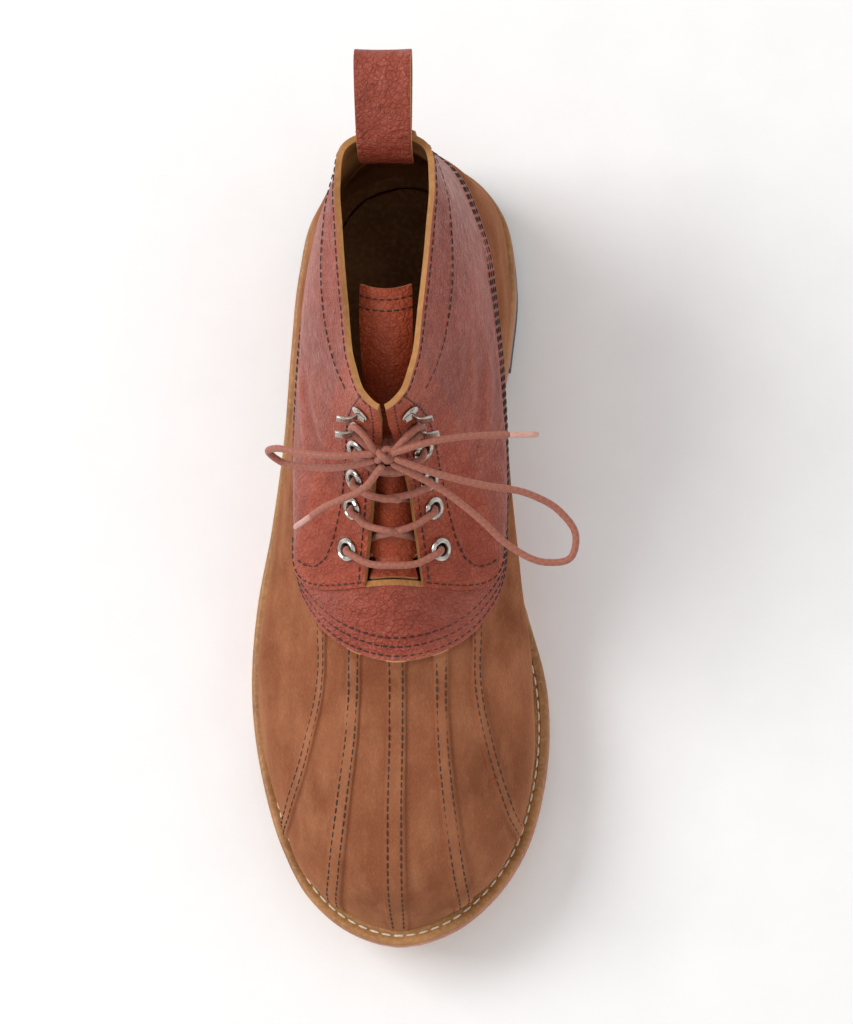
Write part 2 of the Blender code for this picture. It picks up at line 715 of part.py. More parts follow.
def frame_at(level, share, distance):
    """Return the matrix that stands +Z along the surface's normal, +X along the girth."""
    origin = Vector(offset_point(level, share, distance))
    normal = Vector(surface_normal(level, share))
    up = Vector(surface(min(level + 0.1, COLLAR), share) - surface(level, share))
    across = up.cross(normal).normalized()
    along = normal.cross(across).normalized()
    turn = Matrix((across, along, normal)).transposed().to_4x4()
    return Matrix.Translation(origin) @ turn


def fastener_share(level, side):
    """Return the signed share of an eyelet or hook."""
    sign = -1 if side == 0 else 1
    inset = EYELET_INSET * np.interp(level, (8.0, 9.0), (1.0, 0.8))
    return sign * slot_share(level, side, inset)


def ring_mesh(name, finish):
    """Make the mesh of an eyelet: a rolled flange with a short barrel under it."""
    sides = 12
    barrel = -1.6 * MM
    profile = [
        (EYELET_HOLE, barrel), (EYELET_BARREL - GAP, barrel), (EYELET_BARREL - GAP, 0.0),
        (EYELET_FLANGE, 0.0), (0.5 * (EYELET_FLANGE + EYELET_HOLE), EYELET_RISE),
        (EYELET_HOLE, 0.5 * EYELET_RISE),
    ]
    vertices = []
    for radius, height in profile:
        for i in range(sides):
            angle = 2 * math.pi * i / sides
            vertices.append((radius * math.cos(angle), radius * math.sin(angle), height))
    faces = grid_faces(len(profile), sides, closed=True)
    last = (len(profile) - 1) * sides
    faces += [(last + i, last + (i + 1) % sides, (i + 1) % sides, i) for i in range(sides)]
    return mesh_object(name, vertices, faces, finish)


def build_eyelets(upper, finish):
    """Nickel eyelets with their holes in the facings."""
    outside = OVERLAY_STEP + FACING_STEP
    master = None
    for side, label in ((0, "left"), (1, "right")):
        for number, level in enumerate(EYELET_LEVELS, start=1):
            seat = frame_at(level, fastener_share(level, side), outside + 2 * GAP)
            name = f"eyelet_{label}_{number}"
            if master is None:
                master = ring_mesh(name, finish)
                made = master
            else:
                made = bpy.data.objects.new(name, master.data)
                bpy.context.scene.collection.objects.link(made)
            made.matrix_world = seat
            bpy.ops.mesh.primitive_cylinder_add(vertices=12, radius=EYELET_BARREL + GAP,
                                                depth=4 * (WALL + outside))
            cutter = bpy.context.object
            cutter.name = f"hole_cutter_{label}_{number}"
            cutter.matrix_world = seat
            cut(upper, cutter)


def hook_mesh(name, finish):
    """Make the mesh of a speed hook: a seat plate with a lip that rises and turns back."""
    side_view = [
        (-HOOK_BASE, 0), (HOOK_BASE, 0), (HOOK_BASE, 0.8 * HOOK_SHEET),
        (0.5 * HOOK_BASE, HOOK_SHEET), (0.3 * HOOK_BASE, 0.45 * HOOK_RISE),
        (0.55 * HOOK_BASE, 0.72 * HOOK_RISE), (1.5 * HOOK_BASE, HOOK_RISE),
        (1.42 * HOOK_BASE, HOOK_RISE + HOOK_SHEET), (0.25 * HOOK_BASE, 0.9 * HOOK_RISE),
        (-0.15 * HOOK_BASE, 0.5 * HOOK_RISE), (-0.1 * HOOK_BASE, HOOK_SHEET),
        (-HOOK_BASE, 0.8 * HOOK_SHEET),
    ]
    count = len(side_view)
    vertices = []
    for y in (-HOOK_WIDTH / 2, HOOK_WIDTH / 2):
        vertices += [(x, y, z) for x, z in side_view]
    faces = [tuple(range(count)), tuple(range(2 * count - 1, count - 1, -1))]
    faces += [(i, (i + 1) % count, count + (i + 1) % count, count + i) for i in range(count)]
    return mesh_object(name, vertices, faces, finish)


def build_hooks(finish):
    """Nickel speed hooks above the eyelets, their lips turned away from the throat."""
    outside = OVERLAY_STEP + FACING_STEP
    master = None
    for side, label in ((0, "left"), (1, "right")):
        for number, level in enumerate(HOOK_LEVELS, start=1):
            seat = frame_at(level, fastener_share(level, side), outside + 2 * GAP)
            if side == 0:
                seat = seat @ Matrix.Rotation(math.pi, 4, "Z")
            name = f"hook_{label}_{number}"
            if master is None:
                master = hook_mesh(name, finish)
                made = master
            else:
                made = bpy.data.objects.new(name, master.data)
                bpy.context.scene.collection.objects.link(made)
            made.matrix_world = seat


def tube(name, points, diameter, finish, resolution=2):
    """Make a round cord along points, with closed ends."""
    curve = bpy.data.curves.new(name, "CURVE")
    curve.dimensions = "3D"
    curve.bevel_depth = diameter / 2
    curve.bevel_resolution = resolution
    curve.render_resolution_u = 0
    curve.use_fill_caps = True
    spline = curve.splines.new("POLY")
    spline.points.add(len(points) - 1)
    for target, point in zip(spline.points, points):
        target.co = (*point, 1)
    curve.materials.append(finish)
    made = bpy.data.objects.new(name, curve)
    bpy.context.scene.collection.objects.link(made)
    return made


def solid_tube(name, points, diameter, finish):
    """Make a round cord along points as a mesh, which a boolean can join."""
    drawn = tube(name + "_drawn", points, diameter, finish)
    shape = drawn.evaluated_get(bpy.context.evaluated_depsgraph_get()).to_mesh()
    vertices = [tuple(v.co) for v in shape.vertices]
    faces = [tuple(p.vertices) for p in shape.polygons]
    bpy.data.objects.remove(drawn, do_unlink=True)
    return mesh_object(name, vertices, faces, finish)


def over_throat(level, side, reach, height):
    """Return a lace point at a reach past the facing's edge and a height above the facing."""
    sign = -1 if side == 0 else 1
    share = sign * slot_share(level, side, reach)
    share = share if abs(share) > 1e-6 else 1e-6
    return offset_point(level, share, OVERLAY_STEP + FACING_STEP + height)


def build_lacing(finish):
    """Bottom bar and the crossings above it, each crossing joined where its runs meet."""
    clear = LACE_DIAMETER / 2 + EYELET_RISE + 3 * GAP
    rest = LACE_DIAMETER / 2 + 2 * GAP

    def run(level, side, other_level):
        """Points from an eyelet over its facing and down towards the eyelet across."""
        half = THROAT_WIDTH * np.interp(level, range(len(LEVELS)), [row[-1] for row in LEVELS])
        points = [over_throat(level, side, EYELET_INSET, clear)]
        points.append(over_throat(level - 0.03, side, 0.5 * EYELET_INSET, clear + 0.3 * MM))
        points.append(over_throat(level - 0.08, side, 0.5 * MM, rest + 0.8 * MM))
        low = level + (other_level - level) * (0.42, 0.48)[side]
        points.append(over_throat(low, side, -half, rest))
        points.append(over_throat(other_level + 0.08, 1 - side, -2.6 * MM, -0.4 * MM))
        return points

    first = EYELET_LEVELS[0]
    bar = [over_throat(first, 0, EYELET_INSET, clear),
           over_throat(first - 0.04, 0, 0.5 * EYELET_INSET, clear + 0.3 * MM),
           over_throat(first - 0.1, 0, 0, rest + 1 * MM),
           over_throat(first - 0.13, 1, -0.5 * THROAT_WIDTH, rest),
           over_throat(first - 0.1, 1, 0, rest + 1 * MM),
           over_throat(first - 0.04, 1, 0.5 * EYELET_INSET, clear + 0.3 * MM),
           over_throat(first, 1, EYELET_INSET, clear)]
    tube("lace_bar", smooth_curve(bar, 2), LACE_DIAMETER, finish)
    for number, level in enumerate(EYELET_LEVELS[1:3], start=1):
        other = EYELET_LEVELS[number - 1]
        left = solid_tube(f"lace_cross_{number}", smooth_curve(run(level, 0, other), 2),
                          LACE_DIAMETER, finish)
        right = solid_tube(f"lace_run_{number}", smooth_curve(run(level, 1, other), 2),
                           LACE_DIAMETER, finish)
        join(left, right)


def join(target, other):
    """Join a second body to the first and hide it."""
    other.hide_render = True
    other.display_type = "WIRE"
    step = target.modifiers.new("join", "BOOLEAN")
    step.operation = "UNION"
    step.object = other


def build_bow(lace_finish, tip_finish):
    """Knot, two loops and two ends, as free cord."""
    knot = np.array(KNOT_PLACE) * MM
    bpy.ops.mesh.primitive_uv_sphere_add(segments=12, ring_count=8, radius=KNOT_RADIUS,
                                         location=tuple(knot))
    ball = bpy.context.object
    ball.name = "lace_knot"
    ball.data.materials.append(lace_finish)
    away = KNOT_RADIUS + 1.6 * GAP
    for name, route, closes in (("lace_loop_right", LOOP_RIGHT, True),
                                ("lace_loop_left", LOOP_LEFT, True),
                                ("lace_end_right", END_RIGHT, False),
                                ("lace_end_left", END_LEFT, False)):
        points = np.array(route) * MM
        points[0] = knot + (points[0] - knot) / np.linalg.norm(points[0] - knot) * away
        if closes:
            points[-1] = knot + (points[-1] - knot) / np.linalg.norm(points[-1] - knot) * away
        path = smooth_curve(points, 2)
        tube(name, path, LACE_DIAMETER, lace_finish)
        if not closes:
            heading = path[-1] - path[-2]
            heading /= np.linalg.norm(heading)
            start = path[-1] + heading * GAP
            tip = [start, start + heading * 0.5 * TIP_LENGTH, start + heading * TIP_LENGTH]
            tube(name.replace("end", "tip"), tip, LACE_DIAMETER * 0.9, tip_finish)


def main():
    """Build the boot."""
    clear_scene()
    grain = material("grain_leather", (0.30, 0.08, 0.05), 0.45)
    tongue_leather = material("tongue_leather", (0.33, 0.07, 0.03), 0.5)
    edge_leather = material("sole_leather", (0.50, 0.16, 0.07), 0.5)
    welt_leather = material("welt_leather", (0.48, 0.22, 0.10), 0.6)
    stack_leather = material("stacked_leather", (0.40, 0.22, 0.10), 0.6)
    board = material("insole_leather", (0.42, 0.26, 0.14), 0.8)
    black_rubber = material("black_rubber", (0.04, 0.04, 0.04), 0.7)
    tan_rubber = material("tan_rubber", (0.62, 0.38, 0.22), 0.6)
    nickel = material("nickel", (0.7, 0.68, 0.65), 0.2, 1.0)
    lace = material("waxed_lace", (0.40, 0.14, 0.10), 0.7)
    tip = material("lace_tip", (0.6, 0.4, 0.35), 0.3)
    build_outsole(edge_leather)
    build_welt(welt_leather)
    build_half_sole(tan_rubber)
    build_heel(stack_leather, black_rubber, edge_leather)
    build_insole(board)
    upper = build_upper(grain)
    build_tongue(tongue_leather)
    build_back_strap(grain)
    build_pull_loop(grain)
    build_eyelets(upper, nickel)
    build_hooks(nickel)
    build_lacing(lace)
    build_bow(lace, tip)


main()
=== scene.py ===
"""Right duck boot, dressed: suede vamp under a grain leather shaft, laced, on a welted leather sole.

Metres, +Z up. The toe points along -Y and the inner side is +X. The boot stands on the floor, which
is the plane z = 0, with the origin under the middle of its heel.
"""
from __future__ import annotations

import logging
import math
from dataclasses import dataclass, field
from enum import Enum, IntEnum
from typing import Callable, Sequence

import bmesh
import bpy
import numpy as np
from mathutils import Matrix, Vector

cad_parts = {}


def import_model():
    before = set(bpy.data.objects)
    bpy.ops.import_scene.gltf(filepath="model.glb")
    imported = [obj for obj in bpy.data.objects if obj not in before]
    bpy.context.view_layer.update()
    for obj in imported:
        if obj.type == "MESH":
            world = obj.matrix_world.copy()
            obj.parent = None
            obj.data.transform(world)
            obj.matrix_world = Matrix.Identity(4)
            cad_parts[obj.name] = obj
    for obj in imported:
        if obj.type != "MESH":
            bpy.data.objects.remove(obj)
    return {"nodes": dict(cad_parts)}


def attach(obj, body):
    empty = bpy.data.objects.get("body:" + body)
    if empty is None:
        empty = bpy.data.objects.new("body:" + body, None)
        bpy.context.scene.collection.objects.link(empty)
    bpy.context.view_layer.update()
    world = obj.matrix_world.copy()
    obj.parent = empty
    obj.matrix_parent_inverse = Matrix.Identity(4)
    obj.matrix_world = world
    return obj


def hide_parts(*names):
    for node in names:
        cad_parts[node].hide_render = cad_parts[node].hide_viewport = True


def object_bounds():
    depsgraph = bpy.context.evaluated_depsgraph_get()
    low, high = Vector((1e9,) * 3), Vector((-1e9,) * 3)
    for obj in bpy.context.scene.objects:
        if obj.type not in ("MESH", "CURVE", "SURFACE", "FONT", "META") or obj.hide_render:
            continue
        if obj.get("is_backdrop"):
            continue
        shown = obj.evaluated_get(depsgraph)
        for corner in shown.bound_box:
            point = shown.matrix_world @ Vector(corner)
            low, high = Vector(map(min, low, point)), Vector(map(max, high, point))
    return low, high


LOG = logging.getLogger("boot")
MM = 0.001
# points to each span of a drawn outline, and how far thread lies over its leather
SPAN_STEPS = 12
THREAD_LIFT = 0.12 * MM


class Half(Enum):
    """The outer and the inner half of the boot."""

    LATERAL = 0
    MEDIAL = 1

    @property
    def sign(self) -> int:
        """Side of the middle plane on which this half lies."""
        return -1 if self is Half.LATERAL else 1

    @property
    def label(self) -> str:
        """Word for this half in the names of its pieces."""
        return "left" if self is Half.LATERAL else "right"


class Hide(IntEnum):
    """The upper's leathers, by the number that its faces carry."""

    SUEDE = 0
    GRAIN = 1
    FACING = 2
    RAW = 3
    FLESH = 4


# Forms of the last


@dataclass
class Last:
    """The form that the boot is built on: outline, spring, and levels from welt to collar."""

    sole_length: float = 300 * MM
    ball_width: float = 100 * MM
    collar_height: float = 150 * MM
    heel_middle: float = 38 * MM
    welt_extension: float = 6 * MM
    toe_spring: float = 22 * MM
    seat_gap: float = 0.4 * MM
    half_sole: float = 3 * MM
    outsole: float = 5 * MM
    welt: float = 4 * MM
    heel_height: float = 17.4 * MM
    throat_width: float = 21 * MM
    stations: tuple[float, ...] = (0.045, 0.14, 0.30, 0.48, 0.66, 0.82, 0.95)
    # along, lateral, medial: shares of the sole's length and of the ball's width
    outline: tuple[tuple[float, float, float], ...] = (
        (0.000, 0.000, 0.000), (0.020, 0.200, 0.205), (0.060, 0.340, 0.348), (0.120, 0.442, 0.462),
        (0.200, 0.522, 0.526), (0.330, 0.583, 0.532), (0.430, 0.569, 0.453), (0.530, 0.518, 0.365),
        (0.640, 0.468, 0.345), (0.750, 0.441, 0.390), (0.850, 0.412, 0.409), (0.920, 0.365, 0.369),
        (0.970, 0.262, 0.255), (1.000, 0.000, 0.000),
    )
    # along, toe, heel: shares of the toe's spring and of the heel's height
    spring: tuple[tuple[float, float, float], ...] = (
        (0.00, 1.000, 0.00), (0.05, 0.885, 0.00), (0.10, 0.740, 0.00), (0.17, 0.500, 0.00),
        (0.23, 0.290, 0.00), (0.30, 0.110, 0.00), (0.37, 0.000, 0.00), (0.51, 0.000, 0.00),
        (0.55, 0.000, 0.13), (0.60, 0.000, 0.38), (0.67, 0.000, 0.67), (0.74, 0.000, 0.88),
        (0.81, 0.000, 1.00), (1.00, 0.000, 1.00),
    )
    # front, front rise, back, back rise, lateral, medial, rise, gap
    levels: tuple = (
        (None, None, None, None, None, None, None, 0.5),
        (0.033, 0.074, 0.990, 0.096,
         (0.325, 0.450, 0.545, 0.500, 0.425, 0.390, 0.295),
         (0.335, 0.462, 0.485, 0.380, 0.350, 0.395, 0.305),
         (0.063, 0.058, 0.065, 0.065, 0.062, 0.067, 0.084), 0.5),
        (0.060, 0.198, 0.990, 0.171,
         (0.290, 0.438, 0.530, 0.485, 0.418, 0.386, 0.275),
         (0.300, 0.445, 0.485, 0.395, 0.365, 0.386, 0.285),
         (0.178, 0.142, 0.132, 0.121, 0.106, 0.124, 0.154), 0.5),
        (0.137, 0.299, 0.989, 0.229,
         (0.220, 0.370, 0.468, 0.450, 0.403, 0.370, 0.260),
         (0.220, 0.375, 0.455, 0.405, 0.373, 0.370, 0.265),
         (0.287, 0.221, 0.183, 0.161, 0.148, 0.181, 0.216), 0.5),
        (0.243, 0.320, 0.988, 0.274,
         (0.175, 0.315, 0.420, 0.418, 0.380, 0.340, 0.235),
         (0.180, 0.320, 0.420, 0.398, 0.365, 0.340, 0.235),
         (0.312, 0.262, 0.214, 0.183, 0.184, 0.226, 0.264), 0.5),
        (0.340, 0.375, 0.985, 0.312,
         (0.225, 0.351, 0.385, 0.390, 0.363, 0.308, 0.190),
         (0.235, 0.358, 0.385, 0.380, 0.353, 0.308, 0.190),
         (0.324, 0.270, 0.241, 0.211, 0.227, 0.266, 0.303), 0.5),
        (0.428, 0.496, 0.978, 0.411,
         (0.360, 0.376, 0.380, 0.363, 0.330, 0.270, 0.160),
         (0.360, 0.378, 0.380, 0.360, 0.328, 0.270, 0.160),
         (0.326, 0.321, 0.301, 0.297, 0.325, 0.370, 0.403), 0.5),
        (0.524, 0.629, 0.960, 0.569,
         (0.155, 0.272, 0.345, 0.340, 0.310, 0.255, 0.145),
         (0.155, 0.272, 0.345, 0.340, 0.310, 0.255, 0.145),
         (0.540, 0.474, 0.440, 0.455, 0.489, 0.527, 0.561), 0.33),
        (0.578, 0.741, 0.945, 0.735,
         (0.115, 0.200, 0.282, 0.292, 0.270, 0.225, 0.135),
         (0.115, 0.200, 0.282, 0.292, 0.270, 0.225, 0.135),
         (0.700, 0.662, 0.646, 0.656, 0.678, 0.710, 0.731), 0.11),
        (0.598, 0.872, 0.936, 0.876,
         (0.080, 0.140, 0.205, 0.230, 0.225, 0.200, 0.140),
         (0.080, 0.140, 0.205, 0.230, 0.225, 0.200, 0.140),
         (0.864, 0.852, 0.845, 0.845, 0.856, 0.867, 0.876), 0.04),
        (0.606, 1.000, 0.933, 0.996,
         (0.055, 0.090, 0.120, 0.140, 0.155, 0.165, 0.145),
         (0.055, 0.090, 0.120, 0.140, 0.155, 0.165, 0.145),
         (1.000, 1.000, 1.000, 1.000, 1.000, 1.000, 0.998), 0.04),
    )
    samples: int = 1200
    collar: int = 10
    tables: np.ndarray = field(init=False)
    girths: np.ndarray = field(init=False)
    profile: tuple[np.ndarray, np.ndarray] = field(init=False)

    def __post_init__(self) -> None:
        """Draw the sole's profile and each level's two halves."""
        self.profile = self.draw_profile()
        self.tables = np.empty((len(self.levels), 2, self.samples + 1, 3))
        self.girths = np.empty((len(self.levels), 2))
        shares = np.linspace(0, 1, self.samples + 1)
        for index, row in enumerate(self.levels):
            for side, curve in enumerate(self.level_halves(row)):
                self.tables[index, side] = self.by_length(curve, shares)
                self.girths[index, side] = np.linalg.norm(np.diff(curve, axis=0), axis=1).sum()

    def place_of(self, along: np.ndarray | float) -> np.ndarray | float:
        """Return Y for a distance from the toe's tip."""
        return along - (self.sole_length - self.heel_middle)

    def along_of(self, y: np.ndarray | float) -> np.ndarray | float:
        """Return the distance from the toe's tip for Y."""
        return y + self.sole_length - self.heel_middle

    def draw_profile(self) -> tuple[np.ndarray, np.ndarray]:
        """Draw the underside of the leather sole.

        Returns:
            Distances from the toe's tip, and the height at each.
        """
        curve = self.smooth(self.spring, 10)
        shares = self.eased(32, 0.55)
        toe = np.interp(shares, curve[:, 0], curve[:, 1])
        heel = np.interp(shares, curve[:, 0], curve[:, 2])
        heights = self.half_sole + toe * self.toe_spring + heel * self.heel_height
        return shares * self.sole_length, heights

    def sole_bottom(self, along: np.ndarray | float) -> np.ndarray | float:
        """Return the height of the leather sole's underside."""
        return np.interp(along, *self.profile)

    def welt_top(self, along: np.ndarray | float) -> np.ndarray | float:
        """Return the height of the welt's upper face."""
        return self.sole_bottom(along) + self.outsole + self.welt

    @staticmethod
    def eased(count: int, ease: float) -> np.ndarray:
        """Return shares from 0 to 1 that crowd towards both ends."""
        shares = np.linspace(0, 1, count)
        return ease * (0.5 - 0.5 * np.cos(math.pi * shares)) + (1 - ease) * shares

    @staticmethod
    def paired(levels: np.ndarray, shares: np.ndarray) -> tuple[np.ndarray, np.ndarray]:
        """Return levels and shares as flat arrays of one length."""
        levels, shares = np.broadcast_arrays(np.asarray(levels, float), np.asarray(shares, float))
        return levels.ravel(), shares.ravel()

    @staticmethod
    def hermite(start: np.ndarray, end: np.ndarray, start_slope: np.ndarray, end_slope: np.ndarray,
                length: np.ndarray, share: np.ndarray | float) -> np.ndarray:
        """Return points on cubic spans.

        Args:
            start: First point of each span.
            end: Last point of each span.
            start_slope: Slope at the first point.
            end_slope: Slope at the last point.
            length: Length of each span.
            share: How far along the span.

        Returns:
            The points.
        """
        cube, square = share ** 3, share ** 2
        return ((2 * cube - 3 * square + 1) * start + (cube - 2 * square + share) * length * start_slope
                + (3 * square - 2 * cube) * end + (cube - square) * length * end_slope)

    @classmethod
    def smooth(cls, points: Sequence, steps: int, closed: bool = False) -> np.ndarray:
        """Draw a curve through points.

        Args:
            points: The points.
            steps: Points to each span.
            closed: Whether the curve joins its start.

        Returns:
            The curve's points.
        """
        pts = np.asarray(points, float)
        ahead = np.roll(pts, -1, axis=0) - pts
        lengths = np.maximum(np.linalg.norm(ahead, axis=1), 1e-9)[:, None]
        slopes = ahead / lengths
        before_lengths, before_slopes = np.roll(lengths, 1, axis=0), np.roll(slopes, 1, axis=0)
        tangents = (slopes * before_lengths + before_slopes * lengths) / (lengths + before_lengths)
        if not closed:
            tangents[0], tangents[-1] = slopes[0], slopes[-2]
        spans = len(pts) if closed else len(pts) - 1
        out = []
        for i in range(spans):
            after = (i + 1) % len(pts)
            for step in range(steps):
                out.append(cls.hermite(pts[i], pts[after], tangents[i], tangents[after],
                                       lengths[i], step / steps))
        if not closed:
            out.append(pts[-1])
        return np.array(out)

    @staticmethod
    def by_length(curve: np.ndarray, shares: np.ndarray) -> np.ndarray:
        """Return points on a dense curve at shares of its length."""
        lengths = np.concatenate([[0], np.cumsum(np.linalg.norm(np.diff(curve, axis=0), axis=1))])
        lengths = lengths / lengths[-1]
        return np.stack([np.interp(shares, lengths, curve[:, i]) for i in range(curve.shape[1])], 1)

    def outline_loop(self, inset: float, steps: int = SPAN_STEPS) -> np.ndarray:
        """Draw the sole's outline as one closed loop from the toe round the lateral side.

        Args:
            inset: How far inside the sole's edge.
            steps: Points to each span of the table.

        Returns:
            The loop's points in plan.
        """
        rows = [(a * self.sole_length, l, m) for a, l, m in self.outline]
        lateral = [(-l * self.ball_width, self.place_of(a)) for a, l, m in rows]
        medial = [(m * self.ball_width, self.place_of(a)) for a, l, m in rows[1:-1]]
        loop = self.smooth(lateral + medial[::-1], steps, closed=True)
        turn = np.roll(loop, -1, axis=0) - np.roll(loop, 1, axis=0)
        turn /= np.linalg.norm(turn, axis=1)[:, None]
        inward = np.stack([-turn[:, 1], turn[:, 0]], axis=1)
        if np.mean(np.sum(inward * (loop.mean(axis=0) - loop), axis=1)) < 0:
            inward = -inward
        return loop + inward * inset

    def outline_halves(self, inset: float) -> tuple[np.ndarray, np.ndarray]:
        """Return the outline as lateral and medial halves from toe to heel."""
        loop = self.outline_loop(inset)
        half = (len(self.outline) - 1) * SPAN_STEPS
        return loop[:half + 1], np.concatenate([loop[:1], loop[half:][::-1]])

    def edge_pair(self, inset: float, start: float, end: float, count: int = 90,
                  extra: Sequence[float] = ()) -> tuple[np.ndarray, np.ndarray]:
        """Return matching edge points of the two halves.

        Args:
            inset: How far inside the sole's edge.
            start: First distance from the toe's tip.
            end: Last distance from the toe's tip.
            count: Number of places.
            extra: Further places to add.

        Returns:
            Lateral and medial points in plan.
        """
        halves = self.outline_halves(inset)
        first = max(start, self.along_of(halves[0][0][1]) + 0.06 * MM)
        last = min(end, self.along_of(halves[0][-1][1]) - 0.06 * MM)
        places = np.sort(np.concatenate([first + self.eased(count, 0.7) * (last - first), extra]))
        ys = self.place_of(places)
        return tuple(np.stack([np.interp(ys, h[:, 1], h[:, 0]), ys], axis=1) for h in halves)

    def level_halves(self, row: tuple) -> tuple[np.ndarray, np.ndarray]:
        """Draw one level as lateral and medial halves from front to back."""
        front, front_rise, back, back_rise, lateral, medial, rises, gap = row
        if front is None:
            halves = []
            for half in self.outline_halves(self.welt_extension):
                heights = self.welt_top(self.along_of(half[:, 1])) + self.seat_gap
                halves.append(np.column_stack([half, heights]))
            return halves[0], halves[1]
        start, end = front * self.sole_length, back * self.sole_length

        def lifted(x: float, along: float, rise: float) -> tuple[float, float, float]:
            """Return a point at a share of the height from the welt to the collar."""
            base = self.welt_top(along)
            return (x, self.place_of(along), base + rise * (self.collar_height - base))

        sides = []
        for sign, widths in ((-1, lateral), (1, medial)):
            sides.append([lifted(sign * width * self.ball_width, start + share * (end - start), rise)
                          for share, width, rise in zip(self.stations, widths, rises)])
        loop = [lifted(0, start, front_rise)] + sides[0] + [lifted(0, end, back_rise)]
        dense = self.smooth(loop + sides[1][::-1], SPAN_STEPS, closed=True)
        half = (len(self.stations) + 1) * SPAN_STEPS
        return dense[:half + 1], np.concatenate([dense[:1], dense[half:][::-1]])

    def surface(self, levels: np.ndarray, shares: np.ndarray) -> np.ndarray:
        """Return points of the upper's outer form.

        Args:
            levels: Levels, counted up from the welt.
            shares: From 0 at the middle front to 1 at the back, negative on the lateral side.

        Returns:
            One point for each pair.
        """
        levels, shares = self.paired(levels, shares)
        side = (shares >= 0).astype(int)
        position = np.clip(np.abs(shares), 0, 1) * self.samples
        low = np.minimum(position.astype(int), self.samples - 1)
        part = (position - low)[None, :, None]
        rows = np.arange(len(self.levels))[:, None]
        points = self.tables[rows, side[None], low[None]] * (1 - part)
        points = points + self.tables[rows, side[None], low[None] + 1] * part
        ahead = np.diff(points, axis=0)
        lengths = np.maximum(np.linalg.norm(ahead, axis=2), 1e-9)[:, :, None]
        slopes = ahead / lengths
        tangents = np.empty_like(points)
        tangents[0], tangents[-1] = slopes[0], slopes[-1]
        tangents[1:-1] = (slopes[1:] * lengths[:-1] + slopes[:-1] * lengths[1:])
        tangents[1:-1] /= lengths[1:] + lengths[:-1]
        base = np.clip(levels.astype(int), 0, len(self.levels) - 2)
        pick = np.arange(len(levels))
        return self.hermite(points[base, pick], points[base + 1, pick], tangents[base, pick],
                            tangents[base + 1, pick], lengths[base, pick], (levels - base)[:, None])

    def normals(self, levels: np.ndarray, shares: np.ndarray) -> np.ndarray:
        """Return outward normals of the form."""
        levels, shares = self.paired(levels, shares)
        up = self.surface(np.minimum(levels + 0.04, self.collar), shares)
        up = up - self.surface(np.maximum(levels - 0.04, 0), shares)
        ahead, behind = shares + 0.006, shares - 0.006
        ahead = np.where(ahead > 1, ahead - 2, ahead)
        behind = np.where(behind < -1, behind + 2, behind)
        across = self.surface(levels, ahead) - self.surface(levels, behind)
        normal = np.cross(across, up)
        normal /= np.linalg.norm(normal, axis=1)[:, None]
        edge = np.minimum(levels, self.collar - levels) / 0.2
        normal[:, 2] *= np.clip(edge, 0, 1)
        return normal / np.linalg.norm(normal, axis=1)[:, None]

    def offset(self, levels: np.ndarray, shares: np.ndarray, height: np.ndarray | float) -> np.ndarray:
        """Return surface points moved out along their normals."""
        raised = np.asarray(height, float).reshape(-1, 1)
        return self.surface(levels, shares) + self.normals(levels, shares) * raised

    def girth(self, level: np.ndarray | float, half: Half) -> np.ndarray | float:
        """Return the length of one half of a level's loop."""
        return np.interp(level, range(len(self.levels)), self.girths[:, half.value])

    def slot_share(self, level: np.ndarray | float, half: Half,
                   extra: np.ndarray | float = 0.0) -> np.ndarray | float:
        """Return the share at the facing's edge, plus a distance past it."""
        gaps = [row[-1] for row in self.levels]
        opening = np.interp(level, range(len(gaps)), gaps) * self.throat_width
        return (opening + extra) / self.girth(level, half)

    def level_after(self, level: float, shares: np.ndarray, distance: float) -> np.ndarray:
        """Return the levels that lie a distance above a level.

        Args:
            level: The level to start from.
            shares: Shares along it.
            distance: How far up the surface, or down where negative.

        Returns:
            One level for each share.
        """
        reach = np.linspace(level, level + (0.9 if distance > 0 else -0.9), 46)
        reach = np.clip(reach, 0, self.collar)
        rows = np.stack([self.surface(np.full(len(shares), r), shares) for r in reach])
        steps = np.linalg.norm(np.diff(rows, axis=0), axis=2)
        travelled = np.concatenate([np.zeros((1, len(shares))), np.cumsum(steps, axis=0)])
        return np.array([np.interp(abs(distance), travelled[:, i], reach) for i in range(len(shares))])

    def seat(self, level: float, share: float, height: float) -> Matrix:
        """Return the matrix that stands +Z along the normal and +X along the girth."""
        origin = Vector(self.offset([level], [share], height)[0])
        normal = Vector(self.normals([level], [share])[0])
        top = min(level + 0.1, self.collar)
        up = Vector(self.surface([top], [share])[0] - self.surface([level], [share])[0])
        across = up.cross(normal).normalized()
        along = normal.cross(across).normalized()
        return Matrix.Translation(origin) @ Matrix((across, along, normal)).transposed().to_4x4()


# Making of meshes


